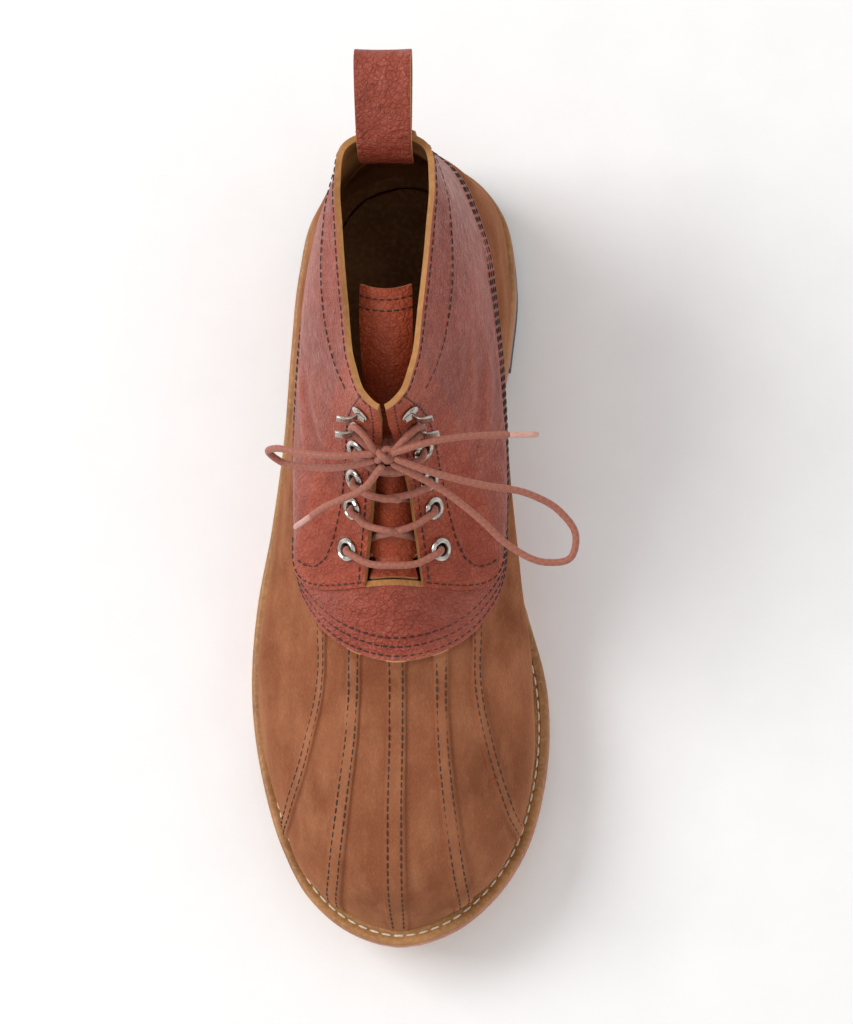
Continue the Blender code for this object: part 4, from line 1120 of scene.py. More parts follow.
@dataclass
class Sole:
    """Leather sole, welt, rubber half sole and the heel with its inlay."""

    last: Last
    finishes: Finishes
    board: bpy.types.Object
    gap: float = 0.3 * MM
    welt_inside: float = 6 * MM
    half_sole_end: float = 150 * MM
    half_sole_round: float = 18 * MM
    half_sole_margin: float = 1.2 * MM
    lift_margin: float = 0.6 * MM
    heel_length: float = 78 * MM
    rubber: float = 8.1 * MM
    lifts: int = 4
    inlay: tuple[float, float, float] = (37 * MM, 20 * MM, 5.3 * MM)

    def build(self) -> None:
        """Build and dress every piece under the upper."""
        self.build_outsole()
        self.build_welt()
        self.build_half_sole()
        self.build_heel()
        self.dress_insole()
        self.sew_welt()

    def slab(self, name: str, left: np.ndarray, right: np.ndarray, low: Callable, high: Callable,
             bevel: float) -> bpy.types.Object:
        """Make a slab of the sole."""
        return Workshop.slab(name, left, right, low, high, self.last.along_of, bevel)

    def build_outsole(self) -> None:
        """Build the leather sole: burnished edge, natural underside at the waist."""
        last = self.last
        left, right = last.edge_pair(0.15 * MM, 0, last.sole_length, 110)
        piece = self.slab("leather_sole", left, right, last.sole_bottom,
                          lambda along: last.sole_bottom(along) + last.outsole, 0.7 * MM)
        Workshop.dress(piece, self.finishes.sole_edge, self.finishes.waist)
        for face in piece.data.polygons:
            face.material_index = 1 if face.normal.z < -0.8 else 0
        hand_over(piece, "sole_edge_leather", "outsole")

    def build_welt(self) -> None:
        """Build the welt as a ring with a rounded edge and a stitch channel in its top."""
        last = self.last
        base = last.outsole + self.gap
        top = last.outsole + last.welt
        # inset and height of the ring's section, from the inner bottom corner round the outside
        inner = last.welt_extension + self.welt_inside
        section = [(inner, base), (6 * MM, base), (0.7 * MM, base), (0.25 * MM, base + 0.35 * MM),
                   (0.15 * MM, 0.5 * (base + top)), (0.3 * MM, top - 0.8 * MM), (0.9 * MM, top - 0.15 * MM),
                   (1.7 * MM, top), (3.2 * MM, top), (3.7 * MM, top - 0.45 * MM),
                   (4.2 * MM, top - 0.45 * MM), (4.7 * MM, top), (6 * MM, top), (inner, top)]
        rings = []
        for inset, height in section + section[:1]:
            loop = last.outline_loop(inset, 16)
            loop = np.vstack([loop, loop[:1]])
            rings.append(np.column_stack([loop, last.sole_bottom(last.along_of(loop[:, 1])) + height]))
        piece = Workshop.grid("welt_ring", np.array(rings))
        Workshop.close(piece)
        Workshop.soften(piece, 40)
        Workshop.dress(piece, self.finishes.welt, self.finishes.sole_edge)
        for face in piece.data.polygons:
            face.material_index = 1 if face.normal.z < 0.35 else 0
        hand_over(piece, "welt_leather", "welt")

    def build_half_sole(self) -> None:
        """Build the rubber half sole with its round rear edge."""
        last = self.last
        extra = [self.half_sole_end - self.half_sole_round * share
                 for share in (0.01, 0.02, 0.04, 0.07, 0.1, 0.15, 0.2, 0.3, 0.4, 0.5, 0.6, 0.7, 0.8)]
        edges = last.edge_pair(self.half_sole_margin, 0, self.half_sole_end - 0.05 * MM, 70, extra)
        rear = last.place_of(self.half_sole_end)
        rounded = []
        for edge in edges:
            into = np.clip(1 - (rear - edge[:, 1]) / self.half_sole_round, 0, 1)
            rounded.append(np.column_stack([edge[:, 0] * (1 - into ** 3) ** (1 / 3), edge[:, 1]]))
        piece = self.slab("rubber_half_sole", rounded[0], rounded[1],
                          lambda along: last.sole_bottom(along) - last.half_sole,
                          lambda along: last.sole_bottom(along) - self.gap, 0.45 * MM)
        piece.data.materials.append(self.finishes.tan)
        hand_over(piece, "tan_rubber", "half_sole")

    def build_heel(self) -> None:
        """Build the lifts, the black top lift and the leather block let into its outer corner."""
        last = self.last
        breast = last.sole_length - self.heel_length
        left, right = last.edge_pair(self.lift_margin, breast, last.sole_length, 60)
        start = self.rubber + self.gap
        lifts = []
        for number in range(self.lifts):
            low_share, high_share = number / self.lifts, (number + 1) / self.lifts

            def lift_height(along: np.ndarray, share: float) -> np.ndarray:
                """Return the height at a share of the stack."""
                return start + share * (last.sole_bottom(along) - self.gap - start)

            lifts.append(self.slab(f"lift_{number}", left, right,
                                   lambda along, s=low_share: lift_height(along, s),
                                   lambda along, s=high_share: lift_height(along, s) - 0.02 * MM,
                                   0.22 * MM))
        stack = Workshop.join("heel_lifts", lifts)
        stack.data.materials.append(self.finishes.stack)
        hand_over(stack, "stacked_leather", "heel_stack")
        top_lift = self.slab("black_top_lift", left, right, lambda along: 0 * along,
                             lambda along: 0 * along + self.rubber, 0)
        length, width, height = self.inlay
        block_left, far = last.edge_pair(self.lift_margin, breast, breast + length, 40)
        block_right = block_left + np.array([width, 0])
        block = self.slab("heel_block", block_left, block_right, lambda along: 0 * along,
                          lambda along: 0 * along + height, 0.25 * MM)
        reach = 6 * MM
        pocket_left = np.vstack([block_left[:1] - reach, block_left - [reach, 0],
                                 block_left[-1:] + [-reach, self.gap]])
        pocket_right = np.vstack([block_right[:1] + [self.gap, -reach], block_right + [self.gap, 0],
                                  block_right[-1:] + [self.gap, self.gap]])
        pocket = self.slab("pocket", pocket_left, pocket_right, lambda along: 0 * along - reach,
                           lambda along: 0 * along + height + self.gap, 0)
        Workshop.modify(top_lift, "BOOLEAN", operation="DIFFERENCE", object=pocket, solver="EXACT")
        bpy.data.objects.remove(pocket, do_unlink=True)
        Workshop.round_edges(top_lift, 0.3 * MM)
        Workshop.soften(top_lift)
        top_lift.data.materials.clear()
        top_lift.data.materials.append(self.finishes.black)
        hand_over(top_lift, "black_rubber", "heel_rubber")
        block.data.materials.append(self.finishes.sole_edge)
        hand_over(block, "sole_edge_leather", "heel_inlay")

    def dress_insole(self) -> None:
        """Give the insole board its leather."""
        self.board.data.materials.clear()
        self.board.data.materials.append(self.finishes.board)

    def sew_welt(self) -> None:
        """Sew the welt: long pale stitches in its channel."""
        last = self.last
        loop = last.outline_loop(3.95 * MM, 16)
        loop = np.vstack([loop, loop[:1]])
        heights = last.welt_top(last.along_of(loop[:, 1])) - 0.12 * MM
        sewing = Seamstress(last, 4.6 * MM, 3.7 * MM, 1.0 * MM)
        sewing.free(np.column_stack([loop, heights]), np.tile([0, 0, 1.0], (len(loop), 1)))
        hand_over(sewing.sew("welt_stitches", self.finishes.welt_thread), "welt_leather")


@dataclass
class Upper:
    """The hollow upper: suede vamp with raised seams, grain overlay, facings and collar."""

    last: Last
    finishes: Finishes
    wall: float = 2.2 * MM
    overlay_step: float = 1.4 * MM
    facing_step: float = 1.0 * MM
    rib_height: float = 1.0 * MM
    overlay: float = 5.0
    lobe: float = 6.0
    slot_column: float = 0.052
    # outer edge at the toe, at the overlay, inner edge at the toe, at the overlay
    ribs: tuple = ((0.083, 0.085, 0.066, 0.060), (0.190, 0.160, 0.175, 0.135))
    centre_rib: tuple[float, float] = (0.0095, 0.014)
    # share at which the facing ends, and the width over which it thins out
    facing_end: float = 0.34
    facing_fade: float = 0.14
    # share up to which the facing shows its own leather
    facing_reach: float = 0.235
    eyelet_levels: tuple[float, ...] = (6.40, 6.82, 7.22, 7.78)
    eyelet_inset: float = 9 * MM
    hole: float = 3.0 * MM
    # levels down the facing's stitch line, and how far it lies outside the facing's edge
    facing_line: tuple = ((9.9, 7.0), (9.3, 9.5), (8.7, 12.5), (8.1, 14.5), (7.5, 15.0), (7.0, 15.5),
                          (6.6, 16.5), (6.36, 18.5), (6.24, 22.0), (6.19, 27.0), (6.17, 32.0))
    # soft folds as x, y, z of their middle line in millimetres, half width and depth
    folds: tuple = (
        (((34, -92, 66), (37, -74, 70), (36, -56, 78), (32, -42, 88)), 4.5, 0.9),
        (((-34, -96, 64), (-37, -78, 68), (-36, -60, 75), (-32, -44, 84)), 4.5, 0.9),
        (((30, -80, 84), (31, -66, 90), (29, -50, 100)), 4.0, 0.7),
        (((-30, -84, 82), (-31, -70, 88), (-29, -54, 97)), 4.0, 0.7),
        (((28, -20, 70), (24, -6, 80), (18, 8, 92)), 4.0, 0.6),
        (((-28, -22, 68), (-24, -8, 78), (-18, 6, 90)), 4.0, 0.6),
        (((-30, -178, 52), (-12, -170, 57), (8, -168, 57), (28, -176, 52)), 5.5, 0.45),
        (((-34, -196, 44), (-14, -188, 52), (10, -188, 52), (30, -194, 46)), 6.0, 0.35),
    )

    def columns(self) -> tuple[np.ndarray, np.ndarray, np.ndarray]:
        """Lay out the columns of one half.

        Returns:
            Share at the toe, share at the overlay, and the raised seam's height from 0 to 1.
        """
        slope = 0.0035
        marks = [(0.0, 0.0, 1.0), (*self.centre_rib, 1.0),
                 (self.centre_rib[0] + slope, self.centre_rib[1] + slope, 0.0),
                 (self.slot_column, self.slot_column, 0.0)]
        for outer_toe, outer_top, inner_toe, inner_top in self.ribs:
            marks += [(inner_toe - slope, inner_top - slope, 0.0), (inner_toe, inner_top, 1.0),
                      (outer_toe, outer_top, 1.0), (outer_toe + slope, outer_top + slope, 0.0)]
        marks += [(share, share, 0.0) for share in (0.30, 1.0)]
        marks = sorted(marks)
        toe, top, rib = [marks[0][0]], [marks[0][1]], [marks[0][2]]
        for before, after in zip(marks, marks[1:]):
            wide = after[0] - before[0]
            count = max(1, int(math.ceil(wide / (0.0065 if after[0] <= 0.30 else 0.0115))))
            if before[2] != after[2]:
                count = 3
            for step in range(1, count + 1):
                share = step / count
                toe.append(before[0] + share * wide)
                top.append(before[1] + share * (after[1] - before[1]))
                rise = 0.5 - 0.5 * math.cos(math.pi * share)
                rib.append(before[2] + rise * (after[2] - before[2]))
        return np.array(toe), np.array(top), np.array(rib)

    def rows(self) -> np.ndarray:
        """Lay out the levels of the grid."""
        counts = (7, 9, 13, 17, 18, 16, 20, 16, 12, 12)
        levels = [base + step / count for base, count in enumerate(counts) for step in range(count)]
        levels += [float(self.last.collar)]
        edges = [self.overlay - 0.02, self.overlay - 0.008, self.overlay + 0.012, self.lobe - 0.02,
                 self.lobe - 0.008, self.lobe + 0.012]
        return np.array(sorted(levels + edges))

    def shares(self, levels: np.ndarray, half: Half, toe: np.ndarray, top: np.ndarray) -> np.ndarray:
        """Return each column's share at each level.

        Args:
            levels: Rows of the grid.
            half: Which half.
            toe: Shares at the toe.
            top: Shares at the overlay.

        Returns:
            Rows by columns.
        """
        level = levels[:, None]
        share = toe + (top - toe) * np.clip(level / self.overlay, 0, 1)
        edge = self.last.slot_share(np.maximum(level, self.lobe), half)
        near = top <= self.slot_column + 1e-9
        blend_near = np.clip((level - self.overlay + 1) / (self.lobe - self.overlay + 1), 0, 1)
        inside = share + (share / self.slot_column * edge - share) * blend_near
        blend_far = np.clip((level - self.overlay) / (self.lobe - self.overlay), 0, 1)
        moved = edge + (1 - edge) * (share - self.slot_column) / (1 - self.slot_column)
        outside = share + (moved - share) * blend_far
        return np.where(near, inside, outside)

    @staticmethod
    def rise(value: np.ndarray, low: float, high: float) -> np.ndarray:
        """Rise softly from 0 to 1 between two values."""
        part = np.clip((value - low) / (high - low), 0, 1)
        return part * part * (3 - 2 * part)

    def facing_part(self, shares: np.ndarray) -> np.ndarray:
        """Return how much of the facing's thickness lies at shares, from 0 to 1."""
        return np.clip((self.facing_end - np.abs(shares)) / self.facing_fade, 0, 1)

    def thread_height(self, shares: np.ndarray) -> np.ndarray:
        """Return the height of thread sewn through the overlay and the facing."""
        return self.overlay_step + self.facing_part(shares) * self.facing_step + THREAD_LIFT

    def seam_height(self, levels: np.ndarray) -> np.ndarray:
        """Return the height of the raised seams: low at the welt, full from half a level up."""
        return self.rib_height * (0.3 + 0.7 * np.clip(levels / 0.5, 0, 1))

    def height(self, levels: np.ndarray, shares: np.ndarray, rib: np.ndarray) -> np.ndarray:
        """Return how far the leather stands over the form: overlay, facings and raised seams."""
        over = self.rise(levels, self.overlay - 0.010, self.overlay + 0.012)
        facing = self.rise(levels, self.lobe - 0.010, self.lobe + 0.012) * self.facing_part(shares)
        seam = rib * self.seam_height(levels) * (1 - over)
        return over * self.overlay_step + facing * self.facing_step + seam

    def fold_depth(self, points: np.ndarray) -> np.ndarray:
        """Return the depth of the soft folds and the leather's slow waves at points."""
        depth = np.zeros(len(points))
        for line, width, deep in self.folds:
            path = Workshop.resample(self.last.smooth(np.array(line, float) * MM, 6), 2 * MM)
            near = np.full(len(points), 1.0)
            where = np.zeros(len(points))
            for index, spot in enumerate(path):
                distance = np.linalg.norm(points - spot, axis=1)
                closer = distance < near
                near = np.where(closer, distance, near)
                where = np.where(closer, index / (len(path) - 1), where)
            ends = np.sin(math.pi * np.clip(where, 0.02, 0.98)) ** 0.6
            reach = near / (width * MM)
            shape = np.exp(-reach ** 2) - 0.45 * np.exp(-((reach - 2.0) / 0.9) ** 2)
            depth -= shape * deep * MM * ends
        x, y, z = (points / MM).T
        slow = np.sin(x / 9.1 + 1.7 * np.sin(y / 17.0)) * np.sin(y / 12.3 + 0.8) * np.sin(z / 11.0 + 2.1)
        return depth + 0.28 * MM * slow

    def build(self) -> bpy.types.Object:
        """Build the shell, open its throat and holes, and dress it."""
        last = self.last
        toe, top, rib = self.columns()
        levels = self.rows()
        halves = [self.shares(levels, half, toe, top) for half in (Half.LATERAL, Half.MEDIAL)]
        shares = np.hstack([-halves[0][:, :0:-1], halves[1]])
        ribs = np.concatenate([rib[:0:-1], rib])
        tops = np.concatenate([top[:0:-1], top])
        grid_levels = np.repeat(levels[:, None], shares.shape[1], axis=1)
        heights = self.height(grid_levels, shares, ribs[None, :])
        flat_levels, flat_shares = grid_levels.ravel(), shares.ravel()
        base = last.surface(flat_levels, flat_shares)
        calm = np.clip(flat_levels / 0.8, 0, 1) * np.clip((last.collar - flat_levels) / 0.3, 0, 1)
        waves = self.fold_depth(base) * calm
        points = base + last.normals(flat_levels, flat_shares) * (heights.ravel() + waves)[:, None]
        piece = Workshop.grid("boot_upper", points.reshape(*shares.shape, 3))
        self.paint_shade_and_pale(piece, grid_levels, ribs, waves)
        leather = self.finishes
        Workshop.dress(piece, leather.suede, leather.grain, leather.eyestay, leather.raw, leather.flesh,
                       leather.flesh)
        self.cut_throat(piece, levels, tops)
        Workshop.close_seam(piece)
        Workshop.modify(piece, "SOLIDIFY", thickness=self.wall, offset=-1.0, use_rim=True,
                        use_even_offset=False, material_offset=Hide.FLESH, material_offset_rim=Hide.RAW)
        self.punch_holes(piece)
        Workshop.soften(piece, 50)
        hand_over(piece, "grain_leather", "upper")
        return piece

    def paint_shade_and_pale(self, piece: bpy.types.Object, levels: np.ndarray, ribs: np.ndarray,
                 waves: np.ndarray) -> None:
        """Mark the painted shade in grooves, in folds and under the overlay's edge, and where the leather
        is paler.
        """
        shade_and_pale_tone = np.zeros(levels.shape)
        suede = levels < self.overlay - 0.009
        slope = np.abs(np.gradient(ribs))
        # painted shade on the flanks of the raised seams
        shade_and_pale_tone -= 0.55 * np.clip(slope * 3, 0, 1)[None, :] * suede
        # paler on the raised seams' tops and towards the welt
        shade_and_pale_tone += 0.16 * ribs[None, :] * suede
        shade_and_pale_tone += 0.50 * np.clip(1 - levels / 1.3, 0, 1)
        # painted shadow of the overlay's step, in a band on the suede just below its edge
        shade_and_pale_tone -= 0.5 * np.exp(-((levels - self.overlay + 0.05) / 0.05) ** 2) * suede
        # paler along the overlay's edge on the grain, and at the collar
        near_edge = np.abs(levels - self.overlay - 0.012) < 0.03
        shade_and_pale_tone += 0.30 * near_edge * ~suede
        shade_and_pale_tone += 0.25 * np.clip((levels - self.last.collar + 0.2) / 0.2, 0, 1)
        # painted shade in the fold troughs and painted highlight on their crests
        shade_and_pale_tone += np.clip(waves.reshape(levels.shape) / (0.9 * MM), -0.5, 0.35) * 0.5
        values = np.clip(shade_and_pale_tone, -1, 1).astype(np.float32).ravel()
        piece.data.attributes.new("shade_and_pale_tone", "FLOAT", "POINT").data.foreach_set("value", values)

    def cut_throat(self, piece: bpy.types.Object, levels: np.ndarray, tops: np.ndarray) -> None:
        """Open the throat and give each face its leather."""
        columns = len(tops)
        overlay_row = int(np.argmin(np.abs(levels - (self.overlay - 0.008))))
        facing_row = int(np.argmin(np.abs(levels - self.lobe)))
        work = bmesh.new()
        work.from_mesh(piece.data)
        work.verts.ensure_lookup_table()
        gone = []
        for face in work.faces:
            index = [v.index for v in face.verts]
            row, column = min(index) // columns, min(i % columns for i in index)
            in_slot = max(abs(tops[column]), abs(tops[column + 1])) <= self.slot_column + 1e-9
            if row >= facing_row and in_slot:
                gone.append(face)
            elif row >= facing_row and max(tops[column], tops[column + 1]) < self.facing_reach:
                face.material_index = Hide.FACING
            elif row < overlay_row:
                face.material_index = Hide.SUEDE
            elif row < overlay_row + 2:
                face.material_index = Hide.RAW
            else:
                face.material_index = Hide.GRAIN
        bmesh.ops.delete(work, geom=gone, context="FACES")
        loose = [v for v in work.verts if not v.link_faces]
        bmesh.ops.delete(work, geom=loose, context="VERTS")
        work.to_mesh(piece.data)
        work.free()

    def eyelet_share(self, level: float, half: Half) -> float:
        """Return the signed share of an eyelet."""
        return half.sign * float(self.last.slot_share(level, half, self.eyelet_inset))

    def punch_holes(self, piece: bpy.types.Object) -> None:
        """Punch the eyelets' holes."""
        outside = self.overlay_step + self.facing_step
        for half in Half:
            for level in self.eyelet_levels:
                Workshop.clear()
                bpy.ops.mesh.primitive_cylinder_add(vertices=24, radius=self.hole, depth=14 * MM)
                punch = bpy.context.object
                Workshop.place(punch, self.last.seat(level, self.eyelet_share(level, half), outside))
                punch.data.materials.append(self.finishes.raw)
                Workshop.modify(piece, "BOOLEAN", operation="DIFFERENCE", object=punch, solver="EXACT")
                bpy.data.objects.remove(punch, do_unlink=True)

    def sew(self) -> None:
        """Sew every dark seam of the upper."""
        last = self.last
        sewing = Seamstress(last)
        round_about = np.linspace(-0.955, 0.955, 300)
        for distance in (2.2 * MM, 5.8 * MM, 9.4 * MM):
            levels = last.level_after(self.overlay, round_about, distance)
            sewing.along(levels, round_about, self.overlay_step + THREAD_LIFT)
        self.sew_ribs(sewing)
        for half in Half:
            self.sew_facing(sewing, half)
        self.sew_collar(sewing)
        hand_over(sewing.sew("upper_stitches", self.finishes.thread), "grain_leather")

    def sew_ribs(self, sewing: Seamstress) -> None:
        """Sew both edges of each raised seam of the vamp."""
        levels = np.linspace(0.35, 4.96, 60)
        inset = 0.004
        lines = [(self.centre_rib[0] - inset, self.centre_rib[1] - inset)]
        for outer_toe, outer_top, inner_toe, inner_top in self.ribs:
            lines += [(outer_toe - inset, outer_top - inset), (inner_toe + inset, inner_top + inset)]
        for toe, top in lines:
            for half in Half:
                share = toe + (top - toe) * levels / self.overlay
                sewing.along(levels, half.sign * share, self.seam_height(levels) + 0.05 * MM)

    def sew_facing(self, sewing: Seamstress, half: Half) -> None:
        """Sew along the throat's edge, round the lobe and down the facing's outer line."""
        last = self.last
        inset, bottom = 2.4 * MM, 6.12
        levels = np.linspace(9.9, bottom, 70)
        top = self.overlay_step + self.facing_step + THREAD_LIFT
        sewing.along(levels, half.sign * last.slot_share(levels, half, inset), top)
        shares = np.linspace(float(last.slot_share(bottom, half, inset)), 0.26, 30)
        levels = last.level_after(self.lobe, half.sign * shares, 2.2 * MM)
        sewing.along(levels, half.sign * shares, self.thread_height(shares))
        line = last.smooth(self.facing_line, 8)
        shares = last.slot_share(line[:, 0], half, line[:, 1] * MM)
        sewing.along(line[:, 0], half.sign * shares, self.thread_height(shares))

    def sew_collar(self, sewing: Seamstress) -> None:
        """Sew the collar's edge and the double row under it."""
        last = self.last
        for half in Half:
            first = float(last.slot_share(9.9, half, 3 * MM))
            shares = np.linspace(first, 0.93, 60)
            for distance in (2.4 * MM, 22.0 * MM, 24.4 * MM):
                levels = last.level_after(last.collar - 1e-6, half.sign * shares, -distance)
                keep = shares > (first if distance < 5 * MM else 0.14)
                sewing.along(levels[keep], half.sign * shares[keep], self.thread_height(shares[keep]))


@dataclass
class Tongue:
    """The tongue behind the laces: its nose in the throat, its free end fallen back."""

    last: Last
    finishes: Finishes
    wall: float = 2.2 * MM
    gap: float = 0.3 * MM
    thickness: float = 2.0 * MM
    width: float = 40 * MM
    # level, half width share, drop as a share of the wall
    nose: tuple = ((6.09, 0.225, -0.55), (6.17, 0.225, 0.55), (6.26, 0.215, 1.30), (6.30, 0.440, 1.36),
                   (6.70, 0.440, 1.40), (7.20, 0.340, 1.45), (7.65, 0.240, 1.55))
    # along, up, half width share
    top: tuple = ((0.620, 0.805, 0.205), (0.660, 0.862, 0.225), (0.707, 0.905, 0.240),
                  (0.752, 0.930, 0.235))

    def build(self) -> None:
        """Build and dress the tongue."""
        shares = np.linspace(-1, 1, 25)
        rows = []
        for level, width, drop in self.nose:
            reach = np.empty(len(shares))
            for i, share in enumerate(shares):
                half = Half.LATERAL if share < 0 else Half.MEDIAL
                reach[i] = share * width * self.width / self.last.girth(level, half)
            levels = np.full(len(shares), level)
            rows.append(self.last.offset(levels, reach, -drop * self.wall - self.gap))
        for along, up, width in self.top:
            x = shares * width * self.width
            y = self.last.place_of(along * self.last.sole_length) + 2.0 * MM * shares ** 2
            z = up * self.last.collar_height - 1.5 * MM * shares ** 2
            rows.append(np.column_stack([x, y, z]))
        control = np.array(rows)
        sheet = np.stack([self.last.smooth(control[:, i], 7) for i in range(len(shares))], axis=1)
        # soft creases across the tongue where the lace pulls it
        count = len(sheet)
        for place in (0.30, 0.38, 0.45, 0.53, 0.60, 0.68):
            rise = np.exp(-((np.arange(count) / count - place) / 0.014) ** 2)
            sheet[:, :, 2] -= 0.35 * MM * rise[:, None] * (1 - 0.5 * shares[None, :] ** 2)
        piece = Workshop.grid("boot_tongue", sheet)
        Workshop.close_seam(piece)
        if np.mean([p.normal.z for p in piece.data.polygons]) < 0:
            piece.data.flip_normals()
        Workshop.dress(piece, self.finishes.tongue, self.finishes.raw, self.finishes.flesh)
        Workshop.thicken(piece, self.thickness)
        Workshop.soften(piece, 50)
        hand_over(piece, "tongue_leather", "tongue")
        self.sew_top(sheet)

    def sew_top(self, sheet: np.ndarray) -> None:
        """Sew the tongue's top edge with a double row."""
        sewing = Seamstress(self.last, 2.7 * MM, 2.0 * MM)
        for row in (-3, -5):
            line = sheet[row, 1:-1]
            normals = np.cross(np.gradient(line, axis=0), line - sheet[row - 2, 1:-1])
            normals /= np.linalg.norm(normals, axis=1)[:, None]
            normals *= np.where(normals[:, 2:] < 0, -1, 1)
            sewing.free(line + normals * THREAD_LIFT, normals)
        hand_over(sewing.sew("tongue_stitches", self.finishes.thread), "tongue_leather")


@dataclass
class BackStrap:
    """The strip over the back seam, sewn down both sides."""

    last: Last
    finishes: Finishes
    width: float = 20 * MM
    thickness: float = 1.5 * MM
    gap: float = 0.3 * MM
    overlay_step: float = 1.4 * MM

    def lift(self, levels: np.ndarray) -> np.ndarray:
        """Return the strip's height over the form at levels."""
        return self.gap + self.overlay_step * np.clip((levels - 4.86) / 0.1, 0, 1)

    def build(self) -> None:
        """Build, dress and sew the strip."""
        last = self.last
        levels = np.concatenate([np.linspace(0.25, 4.8, 34), np.linspace(4.86, 5.0, 5),
                                 np.linspace(5.1, 9.95, 44)])
        places = np.linspace(-1, 1, 13)
        sheet = np.empty((len(levels), len(places), 3))
        for column, place in enumerate(places):
            half = Half.LATERAL if place < 0 else Half.MEDIAL
            share = 1 - abs(place) * 0.5 * self.width / last.girth(levels, half)
            domed = 0.25 * MM * (1 - place ** 4)
            lift = self.lift(levels) + self.thickness - 0.25 * MM + domed
            sheet[:, column] = last.offset(levels, half.sign * share, lift)
        piece = Workshop.grid("back_seam_strip", sheet)
        Workshop.close_seam(piece)
        if np.mean([p.normal.y for p in piece.data.polygons]) < 0:
            piece.data.flip_normals()
        Workshop.dress(piece, self.finishes.grain, self.finishes.raw, self.finishes.flesh)
        Workshop.thicken(piece, self.thickness - 0.1 * MM)
        Workshop.round_edges(piece, 0.25 * MM)
        Workshop.soften(piece, 50)
        hand_over(piece, "grain_leather", "back_strap")
        sewing = Seamstress(last)
        rows = np.linspace(0.4, 9.85, 90)
        for half in Half:
            share = 1 - 0.5 * (self.width - 4.4 * MM) / last.girth(rows, half)
            sewing.along(rows, half.sign * share, self.lift(rows) + self.thickness + 0.02 * MM)
        hand_over(sewing.sew("back_strip_stitches", self.finishes.thread), "grain_leather")


@dataclass
class PullLoop:
    """Strap folded into a loop, from inside the collar back on to its top edge."""

    last: Last
    finishes: Finishes
    width: float = 20 * MM
    thickness: float = 2.0 * MM
    # steps back from the collar's rear edge and up from its top, in millimetres
    path: tuple = ((-7.4, -11.0), (-7.0, -3.0), (-3.6, 4.5), (5.5, 11.6), (15.0, 16.8), (22.5, 18.2),
                   (26.0, 14.2), (22.0, 9.4), (13.0, 6.0), (5.0, 3.6), (-0.6, 1.55))

    def build(self) -> None:
        """Build, dress and sew the loop."""
        last = self.last
        rear = last.place_of(last.levels[-1][2] * last.sole_length)
        path = last.smooth([(rear + y * MM, last.collar_height + z * MM) for y, z in self.path], 8)
        places = np.linspace(-1, 1, 11)
        spread_out = np.interp(np.linspace(0, 1, len(path)), (0, 0.3, 0.6, 1), (0.96, 1.0, 1.03, 0.97))
        turn = np.gradient(path, axis=0)
        turn /= np.linalg.norm(turn, axis=1)[:, None]
        out = np.column_stack([turn[:, 1], -turn[:, 0]])
        sheet = np.empty((len(path), len(places), 3))
        for column, place in enumerate(places):
            bow = -0.35 * MM * place ** 2
            sheet[:, column, 0] = place * self.width / 2 * spread_out
            sheet[:, column, 1:] = path + out * bow
        piece = Workshop.grid("heel_pull_loop", sheet)
        Workshop.dress(piece, self.finishes.grain, self.finishes.raw, self.finishes.flesh)
        top = [p for p in piece.data.polygons if p.center.z > last.collar_height + 14 * MM]
        if np.mean([p.normal.z for p in top]) < 0:
            piece.data.flip_normals()
        Workshop.thicken(piece, self.thickness, 0.0)
        Workshop.round_edges(piece, 0.3 * MM)
        Workshop.soften(piece, 50)
        hand_over(piece, "grain_leather", "pull_loop")


